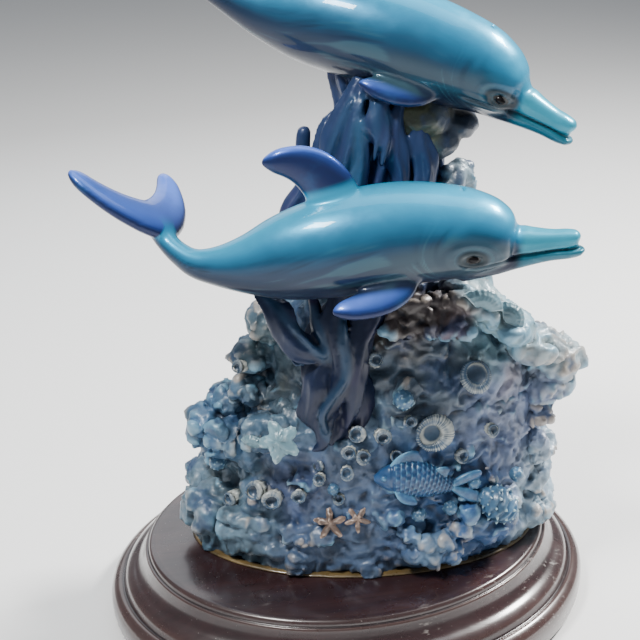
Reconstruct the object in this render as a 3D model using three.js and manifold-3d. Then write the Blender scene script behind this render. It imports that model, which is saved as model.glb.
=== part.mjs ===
// Two dolphins over a coral reef: a painted cast-resin figurine on an oval wooden plinth.
// Millimetres, +Z up. The origin is the centre of the plinth's underside, X runs along its long
// axis and the figurine's front looks along -Y.

import * as THREE from 'three';
import { mergeVertices } from 'three/addons/utils/BufferGeometryUtils.js';
import Module from 'manifold-3d';

const wasm = await Module();
wasm.setup();

// ---------------------------------------------------------------- driving dimensions

const PLINTH_LENGTH = 150;
const PLINTH_WIDTH = 125;
const PLINTH_HEIGHT = 23;
const PLINTH_STEPS = 48;              // facets round the oval
const SEAT_GAP = 0.3;                 // between the plinth's top and the casting's underside
const CASTING_TURN = -10;             // degrees, the casting's turn on its plinth

const DOLPHIN_STEPS_ALONG = 17;
const DOLPHIN_STEPS_ROUND = 10;
const JAW_STEPS = 5;
const EYE_RADIUS = 1.5;

const REEF_STEPS_ROUND = 24;
const REEF_ROUGHNESS = 1.5;           // depth of the reef's lumps
const UP = new THREE.Vector3(0, 0, 1);

const v = (x, y, z) => new THREE.Vector3(x, y, z);

// ---------------------------------------------------------------- solids

// A closed geometry with merged corners and its faces pointing out, as a manifold solid.
function solid(geometry) {
  const bare = geometry.clone();
  for (const name of Object.keys(bare.attributes)) {
    if (name !== 'position') bare.deleteAttribute(name);
  }
  const merged = mergeVertices(bare, 1e-5);
  const vertProperties = new Float32Array(merged.attributes.position.array);
  const triVerts = new Uint32Array(merged.index.array);
  let volume = 0;
  const [a, b, c] = [v(0, 0, 0), v(0, 0, 0), v(0, 0, 0)];
  for (let i = 0; i < triVerts.length; i += 3) {
    a.fromArray(vertProperties, 3 * triVerts[i]);
    b.fromArray(vertProperties, 3 * triVerts[i + 1]);
    c.fromArray(vertProperties, 3 * triVerts[i + 2]);
    volume += a.dot(b.cross(c));
  }
  if (volume < 0) {
    for (let i = 0; i < triVerts.length; i += 3) {
      [triVerts[i + 1], triVerts[i + 2]] = [triVerts[i + 2], triVerts[i + 1]];
    }
  }
  return new wasm.Manifold(new wasm.Mesh({ numProp: 3, vertProperties, triVerts }));
}

function toGeometry(manifold) {
  const mesh = manifold.getMesh();
  const geometry = new THREE.BufferGeometry();
  geometry.setAttribute('position', new THREE.BufferAttribute(mesh.vertProperties, 3));
  geometry.setIndex(new THREE.BufferAttribute(mesh.triVerts, 1));
  geometry.computeVertexNormals();
  return geometry;
}

// A closed skin over a row of rings that all have the same number of points.
function loft(rings) {
  const round = rings[0].length;
  const points = rings.flat();
  const faces = [];
  for (let i = 0; i + 1 < rings.length; i++) {
    for (let j = 0; j < round; j++) {
      const a = i * round + j;
      const b = i * round + (j + 1) % round;
      faces.push(a, b, b + round, a, b + round, a + round);
    }
  }
  const capEnd = (ring, first, flip) => {
    const middle = points.length;
    points.push(ring.reduce((sum, p) => sum.add(p), v(0, 0, 0)).divideScalar(round));
    for (let j = 0; j < round; j++) {
      const next = (j + 1) % round;
      faces.push(middle, first + (flip ? next : j), first + (flip ? j : next));
    }
  };
  capEnd(rings[0], 0, true);
  capEnd(rings[rings.length - 1], (rings.length - 1) * round, false);
  const geometry = new THREE.BufferGeometry().setFromPoints(points);
  geometry.setIndex(faces);
  return solid(geometry);
}

// An oval ring about a middle point, half as wide as `side` and half as high as `up` are long.
function ring(middle, side, up, steps) {
  return Array.from({ length: steps }, (_, j) => {
    const angle = 2 * Math.PI * j / steps;
    return middle.clone().addScaledVector(side, Math.cos(angle)).addScaledVector(up, Math.sin(angle));
  });
}

// Reads a row of stations [t, value, value, ...] at t, easing from one to the next.
function read(stations, t) {
  const last = stations.length - 1;
  let i = 0;
  while (i < last - 1 && t > stations[i + 1][0]) i++;
  const at = (k) => stations[Math.min(Math.max(k, 0), last)];
  const span = at(i + 1)[0] - at(i)[0];
  const f = THREE.MathUtils.clamp((t - at(i)[0]) / span, 0, 1);
  return at(i).slice(1).map((_, k) => {
    const column = k + 1;
    const slope = (n) => {
      const run = at(n + 1)[0] - at(n - 1)[0];
      return span * (at(n + 1)[column] - at(n - 1)[column]) / run;
    };
    const [p, q, m, n] = [at(i)[column], at(i + 1)[column], slope(i), slope(i + 1)];
    return p + f * m + f * f * (3 * (q - p) - 2 * m - n) + f * f * f * (2 * (p - q) + m + n);
  });
}

// A fin or a leaf: a rounded blade between a leading and a trailing edge that meet at one tip.
function wing(leading, trailing, thickness, steps = 5, round = 6) {
  const edges = [leading, trailing].map((points) => new THREE.QuadraticBezierCurve3(...points));
  const chord = leading[0].clone().sub(trailing[0]);
  const reach = leading[2].clone().sub(leading[0]);
  const normal = chord.cross(reach).normalize();
  const rings = [];
  for (let i = 0; i <= steps; i++) {
    const t = 0.97 * (1 - (1 - i / steps) ** 1.5);
    const front = edges[0].getPoint(t);
    const rear = edges[1].getPoint(t);
    const middle = front.clone().add(rear).multiplyScalar(0.5);
    const half = front.sub(rear).multiplyScalar(0.5);
    const thick = normal.clone().multiplyScalar(thickness / 2 * (1 - 0.55 * t));
    rings.push(ring(middle, half, thick, round));
  }
  return loft(rings);
}

// A blade of kelp: a flat strip along a curve, widest in its middle and drawn to a tip.
function blade(points, width, thickness, facing = v(0, -1, 0.3), steps = 5) {
  const curve = new THREE.CatmullRomCurve3(points);
  const rings = [];
  for (let i = 0; i <= steps; i++) {
    const t = i / steps;
    const swell = 0.16 + 0.84 * Math.sin(Math.PI * (0.12 + 0.84 * t)) ** 0.8;
    const side = curve.getTangentAt(t).cross(facing).normalize();
    const out = curve.getTangentAt(t).cross(side).normalize();
    const wave = Math.sin(9 * t + points[0].x) * 0.12 * width;
    const middle = curve.getPointAt(t).addScaledVector(side, wave);
    side.multiplyScalar(width / 2 * swell);
    rings.push(ring(middle, side, out.multiplyScalar(thickness / 2), 6));
  }
  return loft(rings);
}

function ball(middle, radius) {
  const geometry = new THREE.IcosahedronGeometry(radius, 0);
  geometry.translate(middle.x, middle.y, middle.z);
  return solid(geometry);
}

// A coral head: a ball whose skin is pushed in and out.
function coralHead(middle, ...radii) {
  const geometry = new THREE.IcosahedronGeometry(1, Math.max(...radii) > 9.5 ? 1 : 0);
  const position = geometry.attributes.position;
  for (let i = 0; i < position.count; i++) {
    const p = v(0, 0, 0).fromBufferAttribute(position, i);
    const lobes = Math.sin(4.1 * p.x + middle.z) * Math.cos(3.7 * p.y + middle.x);
    const swell = 1 + 0.13 * lobes + 0.1 * Math.sin(5 * p.z);
    position.setXYZ(i, ...p.multiplyScalar(swell).toArray());
  }
  geometry.scale(...radii);
  geometry.translate(middle.x, middle.y, middle.z);
  return solid(geometry);
}

// A cup coral, barnacle or shell mouth: a short tube with a dished end, standing out along `out`.
function cup(middle, radius, length, out, steps = 6) {
  const outline = [[0, -length], [0.8, -length], [1, 0], [0.66, 0.06 * length], [0.5, -0.35 * length]];
  const profile = outline.map(([x, y]) => new THREE.Vector2(x * radius, y));
  profile.push(new THREE.Vector2(0, -0.45 * length));
  const geometry = new THREE.LatheGeometry(profile, steps);
  const turn = new THREE.Quaternion().setFromUnitVectors(v(0, 1, 0), out.clone().normalize());
  geometry.applyQuaternion(turn);
  geometry.translate(middle.x, middle.y, middle.z);
  return solid(geometry);
}

const join = (solids) => wasm.Manifold.union(solids);

// ---------------------------------------------------------------- plinth

// Each station: how far in from the plinth's widest oval, and how high. From the underside up:
// a foot, a full round torus, a quirk, an ogee, a second quirk, and the flat top's soft edge.
function plinth() {
  const top = PLINTH_HEIGHT;
  const outline = [
    [2.6, 0], [0.7, 1.4], [0, 4.0], [0, 7.6], [0.9, 9.8], [3.2, 11.0], [4.0, 10.6],
    [4.6, 11.6], [5.8, 13.6], [8.6, 15.4], [10.6, 17.6], [11.8, 21.3],
    [12.5, 21.0], [13.0, 22.4], [14.4, top],
  ];
  const oval = ([inset, z]) => Array.from({ length: PLINTH_STEPS }, (_, j) => {
    const angle = 2 * Math.PI * j / PLINTH_STEPS;
    const x = (PLINTH_LENGTH / 2 - inset) * Math.cos(angle);
    const y = (PLINTH_WIDTH / 2 - inset) * Math.sin(angle);
    return v(x, y, z);
  });
  return loft(outline.map(oval));
}

// ---------------------------------------------------------------- dolphins

// Body stations from the root of the flukes (0) to the melon's front (1): half height, half width.
const BODY = [
  [0, 2.3, 3.0], [0.06, 2.7, 2.7], [0.13, 3.4, 2.9], [0.20, 5.0, 4.0], [0.30, 8.4, 6.8],
  [0.38, 11.0, 9.4], [0.50, 13.1, 12.0], [0.65, 13.7, 13.2], [0.80, 12.7, 12.6],
  [0.90, 11.0, 11.2], [0.955, 8.8, 9.3], [0.985, 6.4, 7.2], [1, 3.4, 4.2],
];

// Upper jaw and lower jaw in the head's frame: forward, up, half height, half width.
const UPPER_JAW = [
  [0, -9, 1.4, 4.8, 6.4], [0.3, -1, 0.6, 3.9, 5.0], [0.6, 6, 0.2, 2.8, 3.6],
  [0.9, 14, 0.4, 2.1, 2.7], [1, 15.6, 0.4, 1.2, 1.6],
];
const LOWER_JAW = [
  [0, -13, -6.4, 3.8, 6.8], [0.3, -3, -5.6, 2.4, 4.8], [0.6, 5, -4.6, 1.7, 3.2],
  [0.9, 15, -3.0, 1.4, 2.2], [1, 16.8, -2.8, 0.8, 1.3],
];

function frameAt(origin, forward) {
  const ahead = forward.clone().normalize();
  const side = UP.clone().cross(ahead).normalize();      // the dolphin's left
  const up = ahead.clone().cross(side);
  const place = (x, y, z) => {
    return origin.clone().addScaledVector(ahead, x).addScaledVector(side, y).addScaledVector(up, z);
  };
  return { side, up, place };
}

function jaw(frame, stations) {
  const rings = [];
  for (let i = 0; i <= JAW_STEPS; i++) {
    const [ahead, up, halfHeight, halfWidth] = read(stations, i / JAW_STEPS);
    const side = frame.side.clone().multiplyScalar(halfWidth);
    rings.push(ring(frame.place(ahead, 0, up), side, frame.up.clone().multiplyScalar(halfHeight), 8));
  }
  return loft(rings);
}

// A dolphin from its spine (flukes to melon), the way its beak points, the way its tail and the
// span of its flukes point, and how far along its spine the flippers sit.
function dolphin({ spine, beak, tail, span, flippers }) {
  const curve = new THREE.CatmullRomCurve3(spine);
  const rings = [];
  for (let i = 0; i <= DOLPHIN_STEPS_ALONG; i++) {
    const t = 1 - (1 - i / DOLPHIN_STEPS_ALONG) ** 1.15;
    const [halfHeight, halfWidth] = read(BODY, t);
    const { side, up } = frameAt(curve.getPointAt(t), curve.getTangentAt(t));
    side.multiplyScalar(halfWidth);
    rings.push(ring(curve.getPointAt(t), side, up.multiplyScalar(halfHeight), DOLPHIN_STEPS_ROUND));
  }
  const pieces = [loft(rings)];

  const melon = curve.getPointAt(1);
  const head = frameAt(melon, beak);
  pieces.push(jaw(head, UPPER_JAW), jaw(head, LOWER_JAW));

  const back = frameAt(curve.getPointAt(0.51), curve.getTangentAt(0.51));
  pieces.push(wing(
    [back.place(12.5, 0, 10.5), back.place(9.5, 0, 33), back.place(-11, 0, 29)],
    [back.place(-3, 0, 8), back.place(0.5, 0, 20), back.place(-11.5, 0, 25)],
    6.4,
  ));

  const chest = frameAt(curve.getPointAt(flippers), curve.getTangentAt(flippers));
  const skull = frameAt(curve.getPointAt(0.885), curve.getTangentAt(0.885));
  for (const hand of [1, -1]) {
    const flipper = (points) => points.map(([x, y, z]) => chest.place(x, y * hand, z));
    pieces.push(wing(
      flipper([[7, 6.5, -8.5], [2, 18.5, -17.3], [-18.5, 16, -14.2]]),
      flipper([[-3, 4, -7.5], [-8, 10.5, -9.8], [-19, 13.4, -12]]),
      5, 4,
    ));
    pieces.push(ball(skull.place(0, 10.4 * hand, -4.4), EYE_RADIUS));
  }

  const aft = tail.clone().normalize();
  const across = span.clone().normalize();
  const root = spine[0];
  const flukePoint = (back, out) => {
    return root.clone().addScaledVector(aft, back).addScaledVector(across, out);
  };
  for (const hand of [1, -1]) {
    pieces.push(wing(
      [flukePoint(-7, 0.4 * hand), flukePoint(-1, 15.5 * hand), flukePoint(18, 20.5 * hand)],
      [flukePoint(7.5, -0.8 * hand), flukePoint(9.5, 9 * hand), flukePoint(21, 16 * hand)],
      5.4,
    ));
  }
  return join(pieces);
}

const LOWER_DOLPHIN = {
  spine: [
    v(-48.2, -19, 108.1), v(-46.2, -22, 104.6), v(-41.8, -26, 101.2), v(-35.9, -29, 99.2),
    v(-23, -31, 99.8), v(-2.7, -31, 103.7), v(12.8, -30, 106), v(25.7, -30, 106.4), v(35.8, -31, 106), v(44.7, -32, 103.9),
  ],
  beak: v(14.8, -2, 0.5),
  tail: v(-0.57, 0.6, 0.55),
  span: v(-0.6, -0.75, 0.28),
  flippers: 0.68,
};

const UPPER_DOLPHIN = {
  spine: [
    v(-40.1, 16, 173), v(-37.6, 14, 167.4), v(-31.8, 11, 163.2), v(-17.9, 6, 157.7), v(3.2, 0, 154.3),
    v(17.6, -4, 150.6), v(33.7, -8, 145.1), v(40.6, -10, 141.7), v(48, -13, 136.3),
  ],
  beak: v(12.5, -6, -7.4),
  tail: v(-0.66, 0.3, 0.69),
  span: v(-0.3, -0.95, 0.12),
  flippers: 0.75,
};

// ---------------------------------------------------------------- reef

// Height, then how far the mound reaches left, right, forward and back of the casting's axis.
const REEF = [
  [0, 48, 58, 28, 36], [6, 48, 60, 29.5, 37], [14, 43, 59, 29, 35], [22, 35, 60, 29.5, 34],
  [31, 34, 58, 28, 32], [40, 34, 59, 27.5, 32], [48, 30, 59, 26, 29], [56, 25, 59, 25, 28],
  [63, 23, 56, 23, 26], [70, 22, 47, 22, 24], [78, 20, 41, 21, 23], [86, 16, 34, 19, 20],
  [95, 14, 30, 18, 18], [103, 12, 30, 17, 17], [112, 9, 30, 15.5, 16], [121, 5, 30, 14, 14],
  [131, 0, 28, 11, 12], [143, -1, 20, 7, 8],
];

// Lumps over the mound, the same every time: broad swells with smaller knobs over them.
function lumps(x, y, z) {
  const swell = Math.sin(0.13 * x + 1.1) * Math.sin(0.15 * z + 0.4 * Math.sin(0.2 * y));
  const lean = Math.sin(0.11 * z - 0.17 * x);
  const knobs = Math.sin(0.41 * x + 0.9) * Math.cos(0.37 * y + 0.5) * Math.sin(0.43 * z);
  return REEF_ROUGHNESS * (0.6 * (swell + lean) + 1.1 * knobs);
}

function mound() {
  return loft(REEF.map(([z, left, right, front, back], i) => {
    return Array.from({ length: REEF_STEPS_ROUND }, (_, j) => {
      const angle = 2 * Math.PI * (j + 0.5 * (i % 2)) / REEF_STEPS_ROUND;
      const [c, s] = [Math.cos(angle), Math.sin(angle)];
      const [reachX, reachY] = [(left + right) / 2, s < 0 ? front : back];
      const bump = lumps(reachX * c, reachY * s, z);
      return v((right - left) / 2 + c * (reachX + bump), s * (reachY + bump), z);
    });
  }));
}

// Rounded coral heads that break the outline: middle, then the half sizes.
const CORAL_HEADS = [
  [v(-21, -7, 73), 6, 8, 6], [v(-26, -5, 62), 6.5, 9, 5.5], [v(-28, -8, 52), 5, 6, 4.5],
  [v(-36, -4, 45), 6, 7, 5.5], [v(-41, -4, 37), 7, 8, 6], [v(-35, -11, 38), 6.5, 6, 6.5],
  [v(-37, -4, 31), 6, 8, 5], [v(-42, 6, 15), 7.5, 10, 6.5], [v(-41, -4, 11), 10.5, 11, 9.5],
  [v(-24, -20, 42), 5, 4, 6], [v(-16, -23, 44), 5, 4, 6], [v(-26, -18, 10), 11, 7, 9],
  [v(16, -27, 58), 3.4, 3.4, 3.4], [v(17, -19, 79), 8, 6, 6], [v(27, -20, 79), 8, 6, 6],
  [v(57, -4, 41), 6, 9, 6], [v(56, -2, 28), 7, 10, 7], [v(56, -2, 13), 8, 11, 8],
  [v(32.5, -6, 113), 4.5, 4.5, 5], [v(32, -4, 128), 8, 8, 5], [v(22, -7, 131), 11, 9, 8],
  [v(26, -8, 124), 8.5, 7.5, 5.5], [v(20, -25, 10), 13, 6, 6], [v(40, -21, 12), 10, 7, 6],
  [v(-6, -24, 14), 9, 6, 5], [v(-20, 22, 50), 9, 8, 9], [v(14, 24, 60), 11, 8, 10],
  [v(42, 20, 50), 10, 9, 10], [v(-4, 29, 26), 12, 8, 9], [v(36, 27, 24), 12, 8, 9],
  [v(12, 17, 92), 9, 7, 11],
];

// Scalloped plate coral: lobes that fan out to the right, middle, radius, thickness and tilt.
const PLATES = [
  [v(37, -18, 82), 9, 4, 0.5], [v(45, -16, 75), 9, 4, 0.5], [v(54, -12, 66), 9, 4.2, 0.3],
  [v(61, -7, 58), 8.5, 6, 0.1], [v(59, -6, 50), 8, 6, -0.2],
];

function plate([middle, radius, thickness, tilt]) {
  const geometry = new THREE.IcosahedronGeometry(1, 1);
  geometry.scale(radius, radius * 0.95, thickness);
  geometry.rotateY(tilt);
  geometry.translate(middle.x, middle.y, middle.z);
  return solid(geometry);
}

// Cup corals, barnacles and shells: middle of the mouth, radius, length and the way each faces.
const CUPS = [
  [v(3, -29, 48), 2.2, 5, v(0, -1, 0.3)], [v(10.4, -29.5, 47), 2.1, 5, v(0.2, -1, 0.3)],
  [v(1, -30, 42.5), 1.9, 5, v(-0.2, -1, 0.3)], [v(4.8, -30, 41), 1.9, 5, v(0.1, -1, 0.2)],
  [v(0, -30, 36), 1.9, 5, v(0, -1, 0.3)], [v(-27, -24, 27.5), 2.6, 6, v(-0.4, -1, 0.4)],
  [v(-21.8, -26, 25.5), 2.6, 6, v(-0.2, -1, 0.3)], [v(8, -26.5, 72.5), 2.8, 6, v(0.1, -1, 0.4)],
  [v(24, -28, 47), 5.2, 5, v(0.2, -1, 0.2)], [v(36.5, -23, 62.5), 4.4, 7, v(0.1, -1, 0.5)],
];

// Kelp blades: the curve up the middle, the width and the thickness.
const KELP = [
  [[v(-4, -25, 45), v(1.7, -27, 66), v(0.9, -23, 84), v(2, -18, 100)], 10, 4],
  [[v(2, -24, 56), v(-9, -25, 76), v(-21, -18, 86)], 11, 4],
  [[v(-4, -26, 47), v(-10, -26, 58), v(-10, -24, 70), v(-2, -22, 80)], 12, 4],
  [[v(0, -27, 45), v(8.5, -26, 57), v(12, -22, 76), v(13, -17, 100)], 11, 4],
  [[v(2, -12, 84), v(-12, -9, 100), v(-8, -7, 115)], 10, 5],
  [[v(-2, -6, 98), v(-8, -4, 116), v(-8.6, -1, 128)], 6, 4],
  [[v(5, -8, 112), v(0.8, -6, 131), v(0.5, -3, 146)], 8, 4],
  [[v(3, -17, 98), v(5, -15, 116), v(7, -11, 131)], 5, 3],
];

// A small reef fish that lies against the mound, head to the left.
const FISH_SPINE = [v(9, -29, 34), v(17, -29, 34), v(26, -28, 31), v(31, -27, 29)];
const FISH_BODY = [[0, 1.2, 1.2], [0.35, 4.2, 3], [0.7, 3.4, 2.4], [1, 1.4, 1.2]];
const FISH_STEPS = 8;

function fish() {
  const along = new THREE.CatmullRomCurve3(FISH_SPINE);
  const rings = [];
  for (let i = 0; i <= FISH_STEPS; i++) {
    const t = i / FISH_STEPS;
    const [halfHeight, halfWidth] = read(FISH_BODY, t);
    rings.push(ring(along.getPointAt(t), v(0, halfWidth, 0), v(0, 0, halfHeight), 8));
  }
  const dorsal = wing([v(12, -29, 36), v(15, -29.5, 43), v(19, -29, 42)],
    [v(23, -28, 34), v(22, -28.5, 38), v(19, -28.8, 41)], 1.6, 4, 6);
  const tail = wing([v(29, -27, 31), v(34, -27, 35), v(38, -26, 34)],
    [v(29, -27, 28), v(35, -27, 24), v(38, -26, 32)], 2.4, 4, 6);
  return join([loft(rings), dorsal, tail]);
}

// A spiky whelk standing on its spire at the mound's right foot.
function conch() {
  const along = new THREE.CatmullRomCurve3([v(38, -27, 27), v(43, -26, 22.5), v(47.5, -24, 16.5)]);
  const rings = [];
  for (let i = 0; i <= 6; i++) {
    const radius = 1 + 4.2 * Math.sin(Math.PI * (0.15 + 0.8 * i / 6));
    rings.push(ring(along.getPointAt(i / 6), v(0.3 * radius, radius, 0), v(0, 0, radius), 8));
  }
  return loft(rings);
}

function reef() {
  return join([
    mound(),
    ...CORAL_HEADS.map((head) => coralHead(...head)),
    ...PLATES.map(plate),
    ...CUPS.map((one) => cup(...one)),
    ...KELP.map((one) => blade(...one)),
    fish(),
    conch(),
  ]);
}

// Everything moulded together, trimmed flat where it sits on the plinth.
function casting() {
  const whole = join([reef(), dolphin(LOWER_DOLPHIN), dolphin(UPPER_DOLPHIN)]);
  const floor = new THREE.BoxGeometry(4 * PLINTH_LENGTH, 4 * PLINTH_LENGTH, 100);
  floor.translate(0, 0, -50);
  return whole.subtract(solid(floor));
}

// ---------------------------------------------------------------- the object

const woodMaterial = new THREE.MeshStandardMaterial({ color: 0x4a2a28, roughness: 0.3, metalness: 0 });
const paintMaterial = new THREE.MeshStandardMaterial({ color: 0x5b8fb8, roughness: 0.25, metalness: 0 });

const plinthMesh = new THREE.Mesh(toGeometry(plinth()), woodMaterial);
plinthMesh.name = 'plinth';

const castingMesh = new THREE.Mesh(toGeometry(casting()), paintMaterial);
castingMesh.name = 'sculpture_casting';
castingMesh.position.z = PLINTH_HEIGHT + SEAT_GAP;
castingMesh.rotation.z = THREE.MathUtils.degToRad(CASTING_TURN);

const figurine = new THREE.Group();
figurine.add(plinthMesh, castingMesh);

export default figurine;
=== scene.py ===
"""Two dolphins over a coral reef: a painted resin figurine on an oval lacquered plinth.

Shapes are worked out in millimetres in the casting's own axes: x to the right as seen from the
front, y away, z up from the plinth's top. place() turns them into the frame's metres.
"""
import math

import bpy
import numpy as np
from mathutils import Matrix, Vector, noise
from mathutils.kdtree import KDTree


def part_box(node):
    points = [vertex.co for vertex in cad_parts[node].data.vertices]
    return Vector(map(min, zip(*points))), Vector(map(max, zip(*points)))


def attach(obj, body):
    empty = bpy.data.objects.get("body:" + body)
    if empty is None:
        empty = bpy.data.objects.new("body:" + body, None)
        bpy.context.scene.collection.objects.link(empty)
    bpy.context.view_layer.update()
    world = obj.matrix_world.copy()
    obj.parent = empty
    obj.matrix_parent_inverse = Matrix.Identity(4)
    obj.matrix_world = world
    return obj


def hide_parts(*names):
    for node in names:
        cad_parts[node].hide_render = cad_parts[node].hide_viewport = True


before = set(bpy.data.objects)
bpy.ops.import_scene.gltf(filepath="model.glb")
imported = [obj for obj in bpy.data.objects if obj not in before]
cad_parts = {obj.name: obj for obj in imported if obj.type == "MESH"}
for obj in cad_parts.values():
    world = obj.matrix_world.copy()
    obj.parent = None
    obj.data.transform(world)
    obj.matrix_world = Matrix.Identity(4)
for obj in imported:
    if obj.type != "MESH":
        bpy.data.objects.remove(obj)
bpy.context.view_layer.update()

MM = 0.001
PLINTH_LOW, PLINTH_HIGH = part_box("plinth")
PLINTH_TOP = PLINTH_HIGH.z
CASTING_TURN = math.radians(-10.0)      # the casting's turn on its plinth
random = np.random.default_rng(7)

# Squares of the fused skins, in millimetres, and the smoothing rounds that small pieces are shaded by.
DOLPHIN_VOXEL = 0.43
REEF_VOXEL = 0.75
KELP_VOXEL = 0.56
SMALL_REACH = 5


# ------------------------------------------------------------------ small maths

def vec(*values):
    return np.array(values, float)


def unit(v):
    v = np.asarray(v, float)
    return v / np.maximum(np.linalg.norm(v, axis=-1, keepdims=True), 1e-9)


def smoothstep(low, high, x):
    t = np.clip((np.asarray(x, float) - low) / (high - low), 0.0, 1.0)
    return t * t * (3.0 - 2.0 * t)


def bump(x, middle, width):
    """A soft hill of height 1 at middle that is gone a few widths away."""
    return np.exp(-((np.asarray(x, float) - middle) / width) ** 2)


def spline(points, count):
    """A smooth curve through the points, as count points evenly spaced along it."""
    p = np.asarray(points, float)
    p = np.vstack([2 * p[0] - p[1], p, 2 * p[-1] - p[-2]])
    t = np.linspace(0.0, 1.0, 24, endpoint=False)[:, None]
    runs = []
    for a, b, c, d in zip(p[:-3], p[1:-2], p[2:-1], p[3:]):
        runs.append(0.5 * (2 * b + (c - a) * t + (2 * a - 5 * b + 4 * c - d) * t ** 2
                           + (3 * b - a - 3 * c + d) * t ** 3))
    fine = np.vstack(runs + [p[-2:-1]])
    along = np.r_[0.0, np.cumsum(np.linalg.norm(np.diff(fine, axis=0), axis=1))]
    at = np.linspace(0.0, along[-1], count)
    return np.stack([np.interp(at, along, fine[:, k]) for k in range(3)], axis=1)


def bezier(a, b, c, t):
    t = np.asarray(t, float)[:, None]
    return (1 - t) ** 2 * a + 2 * t * (1 - t) * b + t ** 2 * c


def ease(table, t):
    """Reads rows of (t, value, ...) at t along smooth curves through them."""
    table = np.asarray(table, float)
    x, t = table[:, 0], np.asarray(t, float)
    out = []
    for y in table[:, 1:].T:
        slope = np.gradient(y, x)
        i = np.clip(np.searchsorted(x, t) - 1, 0, len(x) - 2)
        h = x[i + 1] - x[i]
        f = np.clip((t - x[i]) / h, 0.0, 1.0)
        out.append((1 + 2 * f) * (1 - f) ** 2 * y[i] + f * (1 - f) ** 2 * h * slope[i]
                   + f * f * (3 - 2 * f) * y[i + 1] + f * f * (f - 1) * h * slope[i + 1])
    return np.stack(out, axis=-1)


def fractal(points, size, octaves=4, seed=0.0):
    """Cloudy noise about -1 to 1, its largest lumps about `size` across."""
    shift = Vector((seed, 2.3 * seed, -1.7 * seed))
    return np.array([
        noise.fractal(Vector(p) / size + shift, 0.9, 2.1, octaves, noise_basis="PERLIN_ORIGINAL")
        for p in points
    ])


def cells(points, size, seed=0.0):
    """Distance to the nearest and second-nearest of scattered points about `size` apart."""
    shift = Vector((seed, -1.3 * seed, 0.7 * seed))
    out = [noise.voronoi(Vector(p) / size + shift)[0][:2] for p in points]
    return np.array(out)


# ------------------------------------------------------------------ meshes

class Shape:
    """A mesh being worked out: vertices in millimetres and faces."""

    def __init__(self, verts, faces):
        self.verts = np.asarray(verts, float)
        self.faces = [tuple(f) for f in faces]


def join(*shapes):
    verts, faces, first = [], [], 0
    for shape in shapes:
        verts.append(shape.verts)
        faces += [tuple(i + first for i in f) for f in shape.faces]
        first += len(shape.verts)
    return Shape(np.vstack(verts), faces)


def facing_out(verts, quads):
    """The same quads of a closed surface, turned over if they face inward."""
    quads = np.asarray(quads)
    a, b, c, d = (verts[quads[:, k]] - verts.mean(axis=0) for k in range(4))
    volume = (a * (np.cross(b, c) + np.cross(c, d))).sum()
    return (quads if volume > 0 else quads[:, ::-1]).tolist(), volume > 0


def loft(rings):
    """A closed solid through rings of points, with flat ends."""
    rings = np.asarray(rings, float)
    rows, around = rings.shape[:2]
    verts = rings.reshape(-1, 3)
    i, j = np.meshgrid(np.arange(rows - 1), np.arange(around), indexing="ij")
    here, there = i * around, (j + 1) % around
    quads = np.stack([here + j, here + there, here + around + there, here + around + j], axis=-1)
    faces, as_made = facing_out(verts, quads.reshape(-1, 4))
    ends = [list(range(around - 1, -1, -1)), [(rows - 1) * around + k for k in range(around)]]
    return Shape(verts, faces + (ends if as_made else [end[::-1] for end in ends]))


def oval(middle, side, up, around, power=2.0):
    """Rings of points round each middle; a power above 2 squares the oval a little."""
    angle = np.linspace(0, 2 * np.pi, around, endpoint=False)
    c, s = np.cos(angle), np.sin(angle)
    c = np.sign(c) * np.abs(c) ** (2.0 / power)
    s = np.sign(s) * np.abs(s) ** (2.0 / power)
    middle, side, up = (np.asarray(a, float)[:, None, :] for a in (middle, side, up))
    return middle + side * c[None, :, None] + up * s[None, :, None]


def ball(middle, radii, rows=14, around=20):
    """A ball or ellipsoid whose rings stop a little short of its poles."""
    pole = 0.12
    angle = np.linspace(pole, np.pi - pole, rows)
    radii = np.broadcast_to(radii, 3)
    heights = np.asarray(middle) + np.cos(angle)[:, None] * vec(0, 0, radii[2])
    spread = np.sin(angle)[:, None]
    return loft(oval(heights, spread * vec(radii[0], 0, 0), -spread * vec(0, radii[1], 0), around))


def unit_ball(rows, around):
    """A ball of radius 1 about the origin."""
    return ball((0, 0, 0), (1, 1, 1), rows, around)


def turned(middle, out, profile, around=28):
    """A round solid about the axis `out`, from (radius, distance along the axis) points."""
    axis = unit(out)
    side = unit(np.cross(axis, vec(0.12, 0.2, 1.0)))
    up = np.cross(axis, side)
    profile = np.asarray(profile, float)
    reach, rise = profile[:, :1], profile[:, 1:2]
    return loft(oval(np.asarray(middle) + rise * axis, reach * side, -reach * up, around))


def aimed(shape, out, middle, roll=0.0):
    """A shape rolled about its z axis, leant over until z points along `out`, and moved to middle."""
    lean = Vector((0, 0, 1)).rotation_difference(Vector(unit(out))).to_matrix()
    turn = np.array(lean @ Matrix.Rotation(roll, 3, "Z"))
    return Shape(shape.verts @ turn.T + vec(*middle), shape.faces)


def to_mesh(shape, name):
    mesh = bpy.data.meshes.new(name)
    mesh.from_pydata(shape.verts.tolist(), [], shape.faces)
    mesh.update()
    return mesh


def fused(shape, voxel):
    """The outer skin of overlapping closed shapes, as one even mesh of squares about voxel across."""
    mesh = to_mesh(shape, "fusing")
    thing = bpy.data.objects.new("fusing", mesh)
    bpy.context.scene.collection.objects.link(thing)
    remesh = thing.modifiers.new("voxels", "REMESH")
    remesh.mode = "VOXEL"
    remesh.voxel_size = voxel * 1.0
    bpy.context.view_layer.update()
    depsgraph = bpy.context.evaluated_depsgraph_get()
    skin = bpy.data.meshes.new_from_object(thing.evaluated_get(depsgraph))
    bpy.data.objects.remove(thing)
    verts = np.zeros(len(skin.vertices) * 3)
    skin.vertices.foreach_get("co", verts)
    faces = [tuple(p.vertices) for p in skin.polygons]
    bpy.data.meshes.remove(skin)
    bpy.data.meshes.remove(mesh)
    return Shape(verts.reshape(-1, 3), faces)


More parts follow.
